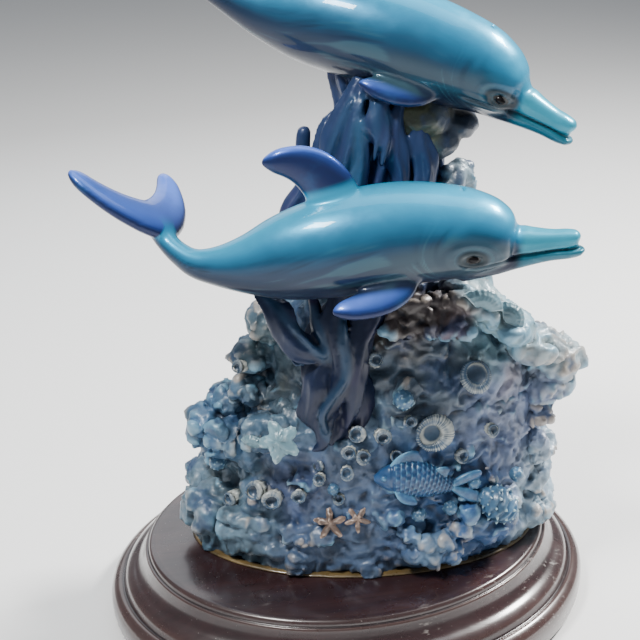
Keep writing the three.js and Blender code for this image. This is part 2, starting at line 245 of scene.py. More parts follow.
def edges_of(shape):
    pairs = np.array([(f[i - 1], f[i]) for f in shape.faces for i in range(len(f))])
    return np.unique(np.sort(pairs, axis=1), axis=0)


def relaxed(shape, rounds, weight=0.5, edges=None):
    """Smooths a shape; weight may be one number or one for each vertex."""
    edges = edges_of(shape) if edges is None else edges
    ends = np.r_[edges[:, 0], edges[:, 1]]
    others = np.r_[edges[:, 1], edges[:, 0]]
    count = len(shape.verts)
    degree = np.maximum(np.bincount(ends, minlength=count), 1)[:, None]
    verts = shape.verts.copy()
    weight = np.broadcast_to(weight, count)[:, None]
    for _ in range(rounds):
        mean = np.stack([np.bincount(ends, verts[others, k], count) for k in range(3)], axis=1) / degree
        verts += weight * (mean - verts)
    return Shape(verts, shape.faces)


def normals_of(shape):
    mesh = to_mesh(shape, "normals")
    out = np.zeros(len(mesh.vertices) * 3)
    mesh.vertex_normals.foreach_get("vector", out)
    bpy.data.meshes.remove(mesh)
    return out.reshape(-1, 3)


def spread_out(values, edges, rounds):
    """Averages a value over each vertex's neighbours, again and again."""
    ends = np.r_[edges[:, 0], edges[:, 1]]
    others = np.r_[edges[:, 1], edges[:, 0]]
    degree = np.maximum(np.bincount(ends, minlength=len(values)), 1)
    for _ in range(rounds):
        values = 0.5 * values + 0.5 * np.bincount(ends, values[others], len(values)) / degree
    return values


def hollowness(shape, reach=10):
    """How far each point lies below (+) or above (-) its smoothed surroundings, in millimetres."""
    edges = edges_of(shape)
    flat = relaxed(shape, reach, 0.6, edges)
    depth = ((flat.verts - shape.verts) * normals_of(shape)).sum(axis=1)
    return spread_out(depth, edges, 1)


def place(shape, name, material, attributes=None, replaces=()):
    """Turns and scales a shape into the frame, and rides it on the object's one body."""
    turn = Matrix.Rotation(CASTING_TURN, 3, "Z")
    world = shape.verts @ np.array(turn).T * MM + vec(0, 0, PLINTH_TOP)
    mesh = to_mesh(Shape(world, shape.faces), name)
    mesh.polygons.foreach_set("use_smooth", [True] * len(mesh.polygons))
    for key, values in (attributes or {}).items():
        if np.ndim(values) == 2:
            layer = mesh.color_attributes.new(key, "FLOAT_COLOR", "POINT")
            colours = np.c_[values, np.ones(len(values))]
            layer.data.foreach_set("color", colours.ravel())
        else:
            layer = mesh.attributes.new(key, "FLOAT", "POINT")
            layer.data.foreach_set("value", np.asarray(values, float))
    thing = bpy.data.objects.new(name, mesh)
    bpy.context.scene.collection.objects.link(thing)
    mesh.materials.append(material)
    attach(thing, "root")
    if replaces:
        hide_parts(*replaces)


def place_small(name, material, *shapes):
    """Joins small growths into one piece, shaded by how far its skin lies above or below itself."""
    shape = join(*shapes)
    place(shape, name, materials[material], {"hollow": hollowness(shape, SMALL_REACH)})


# ------------------------------------------------------------------ camera, lights and floor

VIEW_TILT = math.radians(24.0)          # how far the camera looks down
VIEW_ROLL = math.radians(-2.1)
VIEW_WIDTH = math.radians(30.0)         # the lens's angle across
CAMERA_DISTANCE = 349.4                 # millimetres from the point aimed at
AIM = vec(-6.0, 0.0, 69.5)


def to_world(point):
    turned_point = Matrix.Rotation(CASTING_TURN, 3, "Z") @ Vector(point)
    return turned_point * MM + Vector((0, 0, PLINTH_TOP))


def camera():
    """The camera, as far back as the long lens needs, rolled a little."""
    data = bpy.data.cameras.new("camera")
    data.sensor_width = 36.0
    data.lens = data.sensor_width / 2 / math.tan(VIEW_WIDTH / 2)
    data.clip_start = 0.01
    thing = bpy.data.objects.new("camera", data)
    bpy.context.scene.collection.objects.link(thing)
    back = vec(0, -math.cos(VIEW_TILT), math.sin(VIEW_TILT))
    eye = to_world(AIM + CAMERA_DISTANCE * back)
    look = (to_world(AIM) - eye).to_track_quat("-Z", "Y")
    roll = Matrix.Rotation(VIEW_ROLL, 4, "Z")
    thing.matrix_world = Matrix.Translation(eye) @ look.to_matrix().to_4x4() @ roll
    bpy.context.scene.camera = thing


def area_light(name, place_at, aim_at, size, watts, colour):
    """A soft rectangular lamp: places in the casting's millimetres, its size in metres."""
    data = bpy.data.lights.new(name, "AREA")
    data.shape = "RECTANGLE"
    data.size, data.size_y = size
    data.energy = watts
    data.color = colour
    thing = bpy.data.objects.new(name, data)
    bpy.context.scene.collection.objects.link(thing)
    start, end = to_world(place_at), to_world(aim_at)
    look = (end - start).to_track_quat("-Z", "Y").to_matrix().to_4x4()
    thing.matrix_world = Matrix.Translation(start) @ look


def studio():
    """A small bright key, a broad overhead, a window behind on the right, a rim light and a pale sky."""
    area_light("key", (-210, -230, 560), (0, 0, 90), (0.13, 0.09), 4.3, (1.0, 0.99, 0.96))
    area_light("overhead", (40, 120, 620), (0, 0, 80), (0.55, 0.32), 1.5, (0.92, 0.96, 1.0))
    area_light("right_window", (400, 180, 470), (20, 0, 90), (0.12, 0.10), 9.0, (1.0, 0.985, 0.95))
    area_light("back_rim", (-150, 420, 330), (0, 0, 110), (0.5, 0.3), 0.8, (0.9, 0.95, 1.0))
    world = bpy.data.worlds.new("studio")
    bpy.context.scene.world = world
    world.use_nodes = True
    background = world.node_tree.nodes["Background"]
    background.inputs["Color"].default_value = (0.88, 0.93, 1.0, 1)
    background.inputs["Strength"].default_value = 0.30


def floor():
    """A plain pale floor, six metres each way from the middle."""
    size = 6.0
    mesh = bpy.data.meshes.new("floor")
    corners = [(-size, -size, 0), (size, -size, 0), (size, size, 0), (-size, size, 0)]
    mesh.from_pydata(corners, [], [(0, 1, 2, 3)])
    thing = bpy.data.objects.new("floor", mesh)
    bpy.context.scene.collection.objects.link(thing)
    material = bpy.data.materials.new("floor_paper")
    material.use_nodes = True
    shader = material.node_tree.nodes["Principled BSDF"]
    shader.inputs["Base Color"].default_value = (0.86, 0.86, 0.86, 1)
    shader.inputs["Roughness"].default_value = 0.9
    mesh.materials.append(material)


# ------------------------------------------------------------------ dolphin shapes

# Along the body from the root of the flukes (0) to the melon's front (1): half height, half width.
BODY = [
    (0, 2.6, 3.4), (0.06, 2.9, 3.0), (0.13, 3.5, 3.1), (0.20, 4.8, 4.0), (0.30, 7.9, 6.6),
    (0.38, 10.8, 9.3), (0.50, 13.1, 12.0), (0.65, 13.7, 13.2), (0.80, 12.7, 12.7),
    (0.90, 10.8, 11.4), (0.95, 8.8, 9.8), (0.98, 6.6, 8.0), (0.993, 4.6, 5.8), (1.0, 2.3, 3.0),
]
# Jaws in the head's frame: along the jaw, forward, up, half height, half width.
UPPER_JAW = [
    (0, -9, 1.0, 4.8, 6.6), (0.3, -1, 0.6, 4.2, 5.4), (0.5, 4, 0.2, 3.4, 4.2),
    (0.75, 10, 0.3, 2.5, 3.1), (0.93, 14.3, 0.7, 2.0, 2.7), (0.985, 15.9, 0.9, 1.4, 2.0),
    (1, 16.6, 1.0, 0.6, 0.9),
]
LOWER_JAW = [
    (0, -14, -6.2, 3.9, 7.2), (0.3, -4, -5.4, 2.8, 5.4), (0.5, 2, -4.6, 2.1, 4.0),
    (0.75, 9, -3.6, 1.7, 2.8), (0.94, 15.6, -2.9, 1.5, 2.4), (0.985, 16.9, -2.8, 1.1, 1.8),
    (1, 17.4, -2.8, 0.5, 0.8),
]
# The flipper's leading and trailing edges: ahead, out and up from the chest.
FLIPPER = (
    ((7, 6.5, -8.5), (2, 18.5, -17.3), (-17.5, 16, -14.2)),
    ((-3, 4, -7.5), (-8, 10.5, -9.8), (-18, 13.2, -12)),
)
# The dorsal fin's two edges: ahead and up from the middle of the back.
DORSAL_FIN = (((12.5, 10.5), (8.3, 31.8), (-10.8, 27.8)), ((-3.0, 7.5), (0.3, 19.2), (-11.2, 23.6)))
# One fluke's two edges: back from the root of the flukes and out along their span.
FLUKE = (((-7, 0.4), (-1, 15.5), (17.5, 20)), ((7.5, -0.8), (9.5, 9), (20.5, 15.6)))
DORSAL_THICKNESS, FLIPPER_THICKNESS, FLUKE_THICKNESS = 6.8, 5.2, 5.6
MID_BACK = 0.51                         # where the dorsal fin stands along the body
BLOWHOLE = 0.86                         # where the blowhole lies along the body
MOUTH_CORNER = (-12.0, -3.6)            # forward and up in the head's frame
EYE_RADII = (1.45, 0.72, 0.98)          # along the head, outwards and up

# Each dolphin's middle line from the tail forward, which way its beak, tail and flukes point, where
# its flippers and eyes sit along the body, and how far each eye lies below the widest line.
LOWER_DOLPHIN = dict(
    spine=[(-48.2, -19, 108.1), (-46.2, -22, 104.6), (-41.8, -26, 101.2), (-35.9, -29, 99.2),
           (-23, -31, 99.8), (-2.7, -31, 103.7), (12.8, -30, 106), (25.7, -30, 106.4),
           (35.8, -31, 106), (44.7, -32, 103.9)],
    beak=(14.8, -2, 0.5), tail=(-0.57, 0.6, 0.55), span=(-0.6, -0.75, 0.28),
    flippers=0.68, flipper_size=1.0, flipper_lift=0.0, eye_at=0.895, eye_drop=0.32)
UPPER_DOLPHIN = dict(
    spine=[(-40.1, 16, 173), (-37.6, 14, 167.4), (-31.8, 11, 163.2), (-17.9, 6, 157.7),
           (3.2, 0, 154.3), (17.6, -4, 150.6), (33.7, -8, 145.1), (40.6, -10, 141.7),
           (48, -13, 136.3)],
    beak=(12.5, -6, -7.4), tail=(-0.66, 0.3, 0.69), span=(-0.3, -0.95, 0.12),
    flippers=0.765, flipper_size=0.92, flipper_lift=2.4, eye_at=0.968, eye_drop=0.10)


class Axes:
    """A dolphin's own directions at a point: ahead, to its left, and up along its back."""

    def __init__(self, origin, ahead):
        self.origin = np.asarray(origin, float)
        self.ahead = unit(ahead)
        self.side = unit(np.cross(vec(0, 0, 1), self.ahead))
        self.up = np.cross(self.ahead, self.side)

    def point(self, x, y, z):
        return self.origin + x * self.ahead + y * self.side + z * self.up

    def inside(self, points):
        relative = points - self.origin
        return relative @ self.ahead, relative @ self.side, relative @ self.up


class Spine:
    """The dolphin's middle line with its directions at even steps."""

    STEPS = 161

    def __init__(self, points):
        self.points = spline(points, self.STEPS)
        ahead = unit(np.gradient(self.points, axis=0))
        self.ahead = ahead
        self.side = unit(np.cross(vec(0, 0, 1), ahead))
        self.up = np.cross(ahead, self.side)

    def axes(self, t):
        i = int(round(t * (self.STEPS - 1)))
        return Axes(self.points[i], self.ahead[i])

    def read(self, points):
        """For each point: how far along the spine, and its offsets to the side and up."""
        nearest = np.zeros(len(points), int)
        tree = KDTree(self.STEPS)
        for i, p in enumerate(self.points):
            tree.insert(p, i)
        tree.balance()
        for k, p in enumerate(points):
            nearest[k] = tree.find(p)[1]
        relative = points - self.points[nearest]
        length = np.linalg.norm(self.points[1] - self.points[0])
        ahead = (relative * self.ahead[nearest]).sum(axis=1)
        t = (nearest + ahead / length) / (self.STEPS - 1)
        return t, (relative * self.side[nearest]).sum(axis=1), (relative * self.up[nearest]).sum(axis=1)


def wing(leading, trailing, thickness, rows=48, around=28):
    """A fin between a leading and a trailing edge, rounded off at its tip."""
    t = 1 - (1 - np.linspace(0, 1, rows)) ** 1.8
    front = bezier(*(np.asarray(p, float) for p in leading), t)
    rear = bezier(*(np.asarray(p, float) for p in trailing), t)
    chord = np.asarray(leading[0]) - np.asarray(trailing[0])
    reach = np.asarray(leading[2]) - np.asarray(leading[0])
    normal = unit(np.cross(chord, reach))
    closing = np.sqrt(np.clip(1 - (np.clip(t - 0.84, 0, 1) / 0.16) ** 2, 0.0004, 1))[:, None]
    half = (front - rear) / 2 * closing
    depth = normal * (thickness / 2 * (1 - 0.42 * t))[:, None] * closing
    return loft(oval((front + rear) / 2, half, depth, around, 2.2))


def jaw(head, table, rows=40, around=28):
    t = np.linspace(0, 1, rows)
    ahead, up, high, wide = ease(table, t).T
    middle = np.array([head.point(x, 0, z) for x, z in zip(ahead, up)])
    return loft(oval(middle, wide[:, None] * head.side, high[:, None] * head.up, around, 2.3))


def dolphin_body(spine):
    """The body from the root of the flukes to the melon."""
    t = 1 - (1 - np.linspace(0, 1, 130)) ** 1.12
    high, wide = (column[:, None] for column in ease(BODY, t).T)
    last = Spine.STEPS - 1
    step = np.clip(t * last, 0, last)
    middle, side, up = (
        np.stack([np.interp(step, np.arange(Spine.STEPS), rows[:, k]) for k in range(3)], axis=1)
        for rows in (spine.points, spine.side, spine.up))
    return loft(oval(middle, side * wide, up * high, 64))


def dolphin_shape(spine, form):
    """The body, jaws, dorsal fin, flippers and flukes, as closed shapes that overlap."""
    head = Axes(spine.points[-1], form["beak"])
    parts = [dolphin_body(spine), jaw(head, UPPER_JAW), jaw(head, LOWER_JAW)]
    back = spine.axes(MID_BACK)
    edges = [[back.point(x, 0, z) for x, z in edge] for edge in DORSAL_FIN]
    parts.append(wing(*edges, DORSAL_THICKNESS))

    chest = spine.axes(form["flippers"])
    size, lift = form["flipper_size"], form["flipper_lift"]
    for hand in (1, -1):
        edges = [[chest.point(x * size, y * size * hand, z + lift) for x, y, z in edge]
                 for edge in FLIPPER]
        parts.append(wing(*edges, FLIPPER_THICKNESS))

    root, aft, across = spine.points[0], unit(form["tail"]), unit(form["span"])
    for hand in (1, -1):
        edges = [[root + x * aft + y * hand * across for x, y in edge] for edge in FLUKE]
        parts.append(wing(*edges, FLUKE_THICKNESS))
    return join(*parts)


def dolphin(name, form):
    """One dolphin: fused from its parts, its joints softened, then the face cut into its skin."""
    spine = Spine(form["spine"])
    shape = fused(dolphin_shape(spine, form), DOLPHIN_VOXEL)
    edges = edges_of(shape)
    t, side, up = spine.read(shape.verts)
    high, wide = ease(BODY, np.clip(t, 0, 1)).T
    outward = np.hypot(side / wide, up / high)
    head = Axes(spine.points[-1], form["beak"])
    forward = head.inside(shape.verts)[0]

    # The fins' roots and the beak's root are softened much more than the rest.
    on_body = (t > 0.02) & (t < 1.0)
    joint = np.where(on_body, bump(outward, 1.04, 0.16), 0.3)
    crease = bump(forward, 0.5, 5.5) * 0.6
    mouth = smoothstep(-2, 3, forward)
    shape = relaxed(shape, 22, np.clip(joint * 0.7 + crease, 0, 0.6) * (1 - 0.8 * mouth), edges)
    shape = relaxed(shape, 3, 0.4, edges)
    shape = face_cut(shape, spine, head, form)
    shape = relaxed(shape, 1, 0.25, edges)

    t, side, up = spine.read(shape.verts)
    high, wide = ease(BODY, np.clip(t, 0, 1)).T
    outward = np.hypot(side / wide, up / high)
    forward, _, above = head.inside(shape.verts)
    on_beak = smoothstep(0.98, 1.02, t)
    height = np.clip(up / high, -1.2, 1.2) * (1 - on_beak)
    height += np.clip(above / 3.5, -1.2, 1.2) * on_beak
    eye_distance = distance_from_eye(shape, spine, form)
    attributes = {
        "along": t + np.clip(forward, 0, 20) * 0.012,
        "height": height,
        "fin": fin_mask(t, outward),
        "eye": eye_mask(eye_distance),
        "socket": bump(eye_distance, 2.0, 0.8),
        "cheek": cheek_mask(t, up / high, eye_distance),
        "streak": streaks(t, side, up, eye_distance) * (1 - 0.75 * smoothstep(0.1, 0.5, height)),
        "mouth": mouth_mask(forward, above),
        # How far the skin lies below its surroundings; the paint darkens the hollows by it as painted
        # shade.
        "hollow": hollowness(shape, 6),
        # Which way the skin faces, for the fins' painted light: lighter facing up, darker facing down.
        "facing_up": normals_of(shape)[:, 2],
    }
    place(eyeballs(spine, form), name + "_eyes", materials["eye"])
    place(shape, name, materials["dolphin"], attributes)


def eye_points(spine, form):
    """The middles of both eyes; the drop below the widest line is over the half height."""
    here = spine.axes(form["eye_at"])
    high, wide = ease(BODY, form["eye_at"])
    drop = form["eye_drop"] * high
    out = wide * math.sqrt(1 - form["eye_drop"] ** 2)
    return [here.point(0, hand * out, -drop) for hand in (1, -1)], here


def eyeballs(spine, form):
    """Both dark eyes, each a flattened ball that stands a little out of its socket."""
    points, here = eye_points(spine, form)
    found = []
    for p, hand in zip(points, (1, -1)):
        shape = unit_ball(36, 60)
        ahead, out, up = shape.verts.T
        out_way = unit(here.side * hand - here.up * form["eye_drop"])
        up_way = unit(np.cross(here.ahead, out_way)) * hand
        middle = p - 0.30 * out_way
        verts = middle + np.outer(EYE_RADII[0] * ahead, here.ahead) + np.outer(EYE_RADII[1] * out, out_way)
        found.append(Shape(verts + np.outer(EYE_RADII[2] * up, up_way), shape.faces))
    return join(*found)


def distance_from_eye(shape, spine, form):
    """Distance to the nearer eye, longer up and down than along, in millimetres."""
    points, here = eye_points(spine, form)
    found = []
    for p in points:
        relative = shape.verts - p
        x, z = relative @ here.ahead, relative @ here.up
        depth = np.linalg.norm(relative, axis=1)
        found.append(np.where(depth < 17, np.hypot(x / 1.5, z), 40.0))
    return np.minimum(*found)


def eye_mask(eye_distance):
    return 1 - smoothstep(1.2, 1.4, eye_distance)


def cheek_mask(t, height, eye_distance):
    """Where the cheek's paint turns grey-brown, from the eye back past the flipper."""
    band = bump(height, -0.25, 0.38) * smoothstep(0.45, 0.75, t) * (1 - smoothstep(0.97, 1.0, t))
    return np.clip(band + 0.6 * bump(eye_distance, 4.5, 3.0), 0, 1)


def streaks(t, side, up, eye_distance):
    """Brushed streaks that run along the body and swirl round the eye."""
    round_eye = 1 - smoothstep(4.0, 13.0, eye_distance)
    around = np.arctan2(up, np.abs(side)) * 11.0
    flow = around * (1 - round_eye) + eye_distance * 1.6 * round_eye
    bend = 3.0 * (1 - round_eye) * np.sin(7 * t)
    where = np.stack([flow + bend, 9.0 * t, np.sign(side) * 4.0], axis=1)
    lines = fractal(where, 1.5, 2, 4.0) * 1.4
    patches = smoothstep(-0.25, 0.35, fractal(np.stack([around, 60 * t, side], axis=1), 9.0, 2, 9.0))
    return np.clip(lines * np.clip(patches + 0.9 * round_eye, 0, 1), -1, 1)


def mouth_line(forward):
    """Height of the mouth's line in the head's frame, from its corner to the tip."""
    run = np.clip((forward - MOUTH_CORNER[0]) / (16.5 - MOUTH_CORNER[0]), 0, 1)
    return MOUTH_CORNER[1] + run * 1.9 + 0.5 * np.sin(np.pi * run) * (run - 0.25)


def mouth_mask(forward, above):
    reach = smoothstep(MOUTH_CORNER[0] - 1, 6, forward)
    return reach * bump(above, mouth_line(forward), 0.38)


def fin_mask(t, outward):
    tail = 1 - smoothstep(-0.01, 0.07, t)
    back = smoothstep(1.12, 1.32, outward) * (t < 0.93)
    return np.clip(np.maximum(tail, back), 0, 1)


def face_cut(shape, spine, head, form):
    """Cuts the mouth, the crease round the melon and the eye sockets into a dolphin's head."""
    normal = normals_of(shape)
    forward, across, above = head.inside(shape.verts)
    move = np.zeros(len(shape.verts))
    reach = smoothstep(MOUTH_CORNER[0] - 1, MOUTH_CORNER[0] + 2.5, forward)
    line = mouth_line(forward)
    move -= 0.6 * reach * bump(above, line, 0.30)
    move += 0.30 * reach * (bump(above, line + 1.0, 0.6) + bump(above, line - 1.0, 0.6))

    crease_at = 1.6 - 0.05 * across ** 2 + 0.25 * np.clip(1.5 - above, 0, 6)
    beak_top = smoothstep(-3.2, -0.5, above)
    move -= 0.35 * beak_top * bump(forward, crease_at, 0.9)

    points, here = eye_points(spine, form)
    for p in points:
        relative = shape.verts - p
        x, z = relative @ here.ahead, relative @ here.up
        near = np.linalg.norm(relative, axis=1) < 9
        span = np.hypot(x / 3.4, z / 1.9)
        rim = bump(span, 1.0, 0.25)
        socket = 1 - smoothstep(0.35, 1.0, span)
        pupil = np.clip(1 - (x / 1.7) ** 2 - (z / 1.1) ** 2, 0, 1)
        brow = bump(np.hypot(x / 5.6, (z - 0.6) / 3.6), 1.0, 0.16) * (z > 0)
        move += near * (0.22 * rim - 0.42 * socket + 0.40 * np.sqrt(pupil) + 0.16 * brow)

    blowhole = spine.axes(BLOWHOLE)
    relative = shape.verts - blowhole.point(0, 0, 12)
    x, y = relative @ blowhole.ahead, relative @ blowhole.side
    near = np.linalg.norm(relative, axis=1) < 5
    move -= near * 0.7 * bump(x + 0.12 * y ** 2, 0, 0.35) * (np.abs(y) < 1.8)
    return Shape(shape.verts + normal * move[:, None], shape.faces)


# ------------------------------------------------------------------ reef shapes

# Height, then how far the mound reaches left, right, forward and back of the casting's axis.
MOUND = [
    (0, 47, 57, 28, 36), (6, 46, 59, 29, 36), (14, 42, 58, 28.5, 34), (22, 34, 58.5, 29, 33),
    (31, 33, 57, 27.5, 31), (40, 32, 57, 27, 31), (48, 28, 57, 25.5, 28), (56, 23, 57, 24, 27),
    (63, 21, 54, 22.5, 25), (70, 20, 45, 21.5, 23), (78, 18, 39, 20.5, 22), (86, 14, 32, 18, 18),
    (95, 9, 27, 15, 15), (108, 4, 26, 13, 13), (120, 1, 27, 11, 11), (130, -1, 26, 8.5, 9),
    (139, -5, 22, 5, 7),
]
SPLIT = 50.0                             # the mound is made as a lower and an upper piece
SPLIT_LAP = 3.0
SMOOTH_ROCK = 118.0                      # above this height the rock is smooth


def mound(low, high):
    """The reef's plain core between two heights, before anything grows on it."""
    z = np.linspace(low, high, max(int((high - low) / 1.6), 12))
    left, right, front, back = ease(MOUND, z).T
    angle = np.linspace(0, 2 * np.pi, 150, endpoint=False)
    c, s = np.cos(angle)[None, :], np.sin(angle)[None, :]
    reach_y = np.where(s < 0, front[:, None], back[:, None])
    x = ((right - left) / 2)[:, None] + c * ((left + right) / 2)[:, None]
    y = s * reach_y
    rings = np.stack([x, y, np.broadcast_to(z[:, None], x.shape)], axis=-1)
    return loft(rings)


def surface_of_mound(angle, z):
    """A point on the mound's side and the way out from it."""
    left, right, front, back = ease(MOUND, np.atleast_1d(z))[0]
    c, s = math.cos(angle), math.sin(angle)
    reach_x, reach_y = (left + right) / 2, front if s < 0 else back
    point = vec((right - left) / 2 + c * reach_x, s * reach_y, z)
    return point, unit(vec(c / reach_x, s / reach_y, 0.004))


def behind_kelp(point):
    """Whether a point on the mound is hidden by the kelp's front bunch, so that nothing grows there."""
    return -24 < point[0] < 16 and point[1] < 0 and point[2] > 46


# Coral heads that break the outline: middle and half sizes.
CORAL_HEADS = [
    ((-21, -7, 73), (5, 7, 5)), ((-26, -5, 62), (6, 8, 5)), ((-28, -8, 52), (4.5, 6, 4)),
    ((-35, -4, 46), (5, 6, 4)), ((-41, -5, 41), (5, 7, 4.5)), ((-42, -3, 35), (4.5, 7, 4.5)),
    ((-35, -11, 38), (6, 6, 6)), ((-37, -4, 31), (5, 7, 4)), ((-25, -17, 42), (5, 5, 5)),
    ((-42, 6, 15), (7, 10, 6)), ((-40, -4, 11), (10.5, 11, 9)), ((-26, -17, 10), (12, 8, 9)),
    ((17, -19, 79), (8, 6, 6)), ((27, -20, 79), (8, 6, 6)), ((57, -4, 41), (5, 9, 5)),
    ((57, -3, 29), (6, 9, 6)), ((57, -4, 19), (6, 9, 5)), ((56, -2, 8), (8, 11, 7)),
    ((32, -4, 128), (7.5, 8, 4.5)), ((22, -7, 131), (11, 9, 8)), ((15, -9, 127), (7, 6, 6)),
    ((26, -8, 124), (8, 7, 5)), ((32.5, -6, 113), (4, 4, 4.5)),
    ((33.5, -9.3, 115), (1.7, 1.5, 1.6)), ((31, -9.6, 112), (1.6, 1.5, 1.7)),
    ((35.8, -7, 112.5), (1.6, 1.6, 1.6)), ((33.8, -9.2, 110.6), (1.6, 1.5, 1.5)),
    ((36, -4, 115.4), (1.5, 1.6, 1.5)), ((33, -6, 117.4), (1.6, 1.6, 1.3)),
    ((30, -8, 115.8), (1.5, 1.5, 1.4)), ((36.3, -4, 110), (1.5, 1.6, 1.5)),
    ((20, -25, 10), (13, 6, 6)), ((40, -21, 12), (10, 7, 6)), ((-6, -24, 14), (9, 6, 5)),
    ((13.4, -31, 20.5), (2.6, 2.5, 2.2)), ((16.5, -32, 15.5), (3.0, 2.6, 2.4)),
    ((22, -32.3, 13), (3.2, 2.6, 2.4)), ((27, -32, 13), (3.2, 2.6, 2.4)),
    ((31.5, -31, 15.8), (2.8, 2.5, 2.4)), ((34.6, -30, 20.7), (2.4, 2.4, 2.8)),
    ((18.5, -31, 8.8), (3.4, 3, 3.2)), ((24.2, -31.5, 8), (3.8, 3, 3.4)),
    ((29.5, -30.5, 8.5), (3.2, 3, 3.2)), ((-20, 22, 50), (9, 8, 9)), ((14, 24, 60), (11, 8, 10)),
    ((42, 20, 50), (10, 9, 10)), ((-4, 29, 26), (12, 8, 9)), ((36, 27, 24), (12, 8, 9)),
    ((12, 17, 92), (9, 7, 11)),
]
# Plate coral that fans out to the right: middle, radius, thickness, tilt.
PLATES = [
    ((37, -18, 82), 9, 4, 0.5), ((45, -16, 75), 9, 4, 0.5), ((54, -12, 66), 9, 4.2, 0.3),
    ((61, -7, 58), 8.5, 6, 0.1), ((59, -6, 50), 8, 6, -0.2),
]
# The pale shelf along the plates' rims, and the brown crust under the lower dolphin's chin.
SHELF = [(38, -22, 82), (46, -20, 76), (55, -16, 67), (64, -11, 58), (63, -10, 50)]
BROWN_CRUST = [(17, -24, 81), (25, -26, 80), (31, -26, 78)]
TALLEST_GROWTH = 112.0                  # no loose growth stands above this height


def plate(middle, radius, thickness, tilt):
    """A flat head of plate coral with a scalloped rim, tilted about the y axis."""
    shape = unit_ball(24, 64)
    x, y, z = shape.verts.T
    angle = np.arctan2(y, x)
    scallop = 1 + 0.10 * np.abs(np.sin(3.5 * angle)) + 0.04 * np.sin(17 * angle)
    verts = np.stack([x * radius * scallop, 0.95 * y * radius * scallop, z * thickness], axis=1)
    verts[:, 2] += 0.35 * np.cos(19 * angle) * np.hypot(x, y)
    turn = np.array(Matrix.Rotation(tilt, 3, "Y"))
    return Shape(verts @ turn.T + vec(*middle), shape.faces)


def knob(middle, radii, seed):
    """A coral head: a ball crumpled into a few lobes with creases between them, smoother high up."""
    shape = unit_ball(20, 30)
    crumple = 0.25 if middle[2] > SMOOTH_ROCK else 1.0
    lobes = np.abs(fractal(shape.verts, 0.75, 2, seed))
    swell = 0.84 + crumple * (0.55 * lobes + 0.10 * fractal(shape.verts, 0.4, 2, seed + 5))
    return Shape(shape.verts * swell[:, None] * np.asarray(radii) + np.asarray(middle), shape.faces)


def leaf(middle, out, radius, roll):
    """A thin frill of coral that stands out of the reef, with a scalloped rim."""
    shape = unit_ball(16, 40)
    x, y, z = shape.verts.T
    angle = np.arctan2(y, x)
    scallop = 1 + 0.14 * np.cos(5 * angle + roll) + 0.07 * np.cos(11 * angle)
    dish = 0.55 * z + 0.22 * radius * np.hypot(x, y) ** 2
    verts = np.stack([x * radius * scallop, y * radius * scallop, dish], axis=1)
    tilt = Matrix.Rotation(roll, 3, Vector(unit(out)))
    across = Vector(unit(out)).cross(Vector((0, 0, 1))).normalized()
    edge_on = across * 0.8 + Vector((0, 0, 0.9)) + Vector(out) * 0.6
    turn = tilt @ Vector((0, 0, 1)).rotation_difference(edge_on.normalized()).to_matrix()
    return Shape(verts @ np.array(turn).T + np.asarray(middle), shape.faces)


def scatter_growth(low, high, count):
    """Lumps, frills and broken stubs of coral all over the mound between two heights."""
    shapes = []
    for _ in range(count):
        point, out = surface_of_mound(random.uniform(0, 2 * np.pi), random.uniform(low, high))
        size = random.uniform(1.8, 4.4) * (1.25 if point[1] > 0 else 1.0)
        kind, seed = random.uniform(), random.uniform(0, 90)
        if behind_kelp(point) or point[2] > TALLEST_GROWTH:
            continue
        if kind < 0.42:
            shapes.append(knob(point - 0.2 * size * out, size * random.uniform(0.8, 1.5, 3), seed))
        elif kind < 0.78:
            shapes.append(leaf(point + 0.4 * out, out, size * 1.15, seed))
        else:
            lean = unit(out + random.uniform(-0.5, 0.5, 3))
            reach, wide = size * random.uniform(0.6, 1.1), 0.5 * size
            profile = [(0.9 * wide, -2.5), (wide, 0), (0.8 * wide, 0.6 * reach), (0.7 * wide, 0.9 * reach),
                       (0.2 * wide, 0.8 * reach)]
            shapes.append(turned(point, lean, profile, 9))
    return shapes


def brown_crust():
    """Small crumbs packed along the brown crust under the lower dolphin's chin."""
    shapes = []
    for x in np.arange(12.0, 36.0, 1.9):
        for row in range(4):
            shift = random.uniform(-0.7, 0.7, 3)
            middle = vec(x, -27.0 + 1.2 * row + 0.004 * (x - 24) ** 2, 76.5 + 2.3 * row) + shift
            shapes.append(knob(middle, random.uniform(0.8, 1.7, 3), 7.0 * x + row))
    return shapes


def weathered(shape, seed):
    """Pushes a fused reef's skin in and out: broad swells, crumpled folds, pits, flakes and grain."""
    normal = normals_of(shape)
    points = shape.verts
    swell = fractal(points, 12.0, 2, seed)
    warp = np.stack([fractal(points, 7.0, 2, seed + 50 + k) for k in range(3)], axis=1) * 4.0
    fold = 1 - 2.6 * np.abs(fractal(points + warp, 8.0, 2, seed + 23))
    wrinkle = 1 - 2.6 * np.abs(fractal(points + warp, 3.6, 2, seed + 27))
    fine = 1 - 2.6 * np.abs(fractal(points + 0.6 * warp, 1.9, 2, seed + 31))
    cell = cells(points + 0.5 * warp, 5.0, seed)
    pit = 1 - smoothstep(0.08, 0.26, cell[:, 0])
    rough_patch = smoothstep(-0.15, 0.30, fractal(points, 11.0, 1, seed + 40))
    worn = 1 - 0.75 * smoothstep(SMOOTH_ROCK - 6, SMOOTH_ROCK + 2, points[:, 2])
    move = 1.2 * swell + 1.15 * fold + 0.30 * wrinkle
    move += fine * (0.03 + 0.13 * rough_patch) - 0.7 * pit * rough_patch
    return Shape(points + normal * (worn * move)[:, None], shape.faces)


def trimmed_below(shape, z):
    verts = shape.verts.copy()
    verts[:, 2] = np.maximum(verts[:, 2], z)
    return Shape(verts, shape.faces)


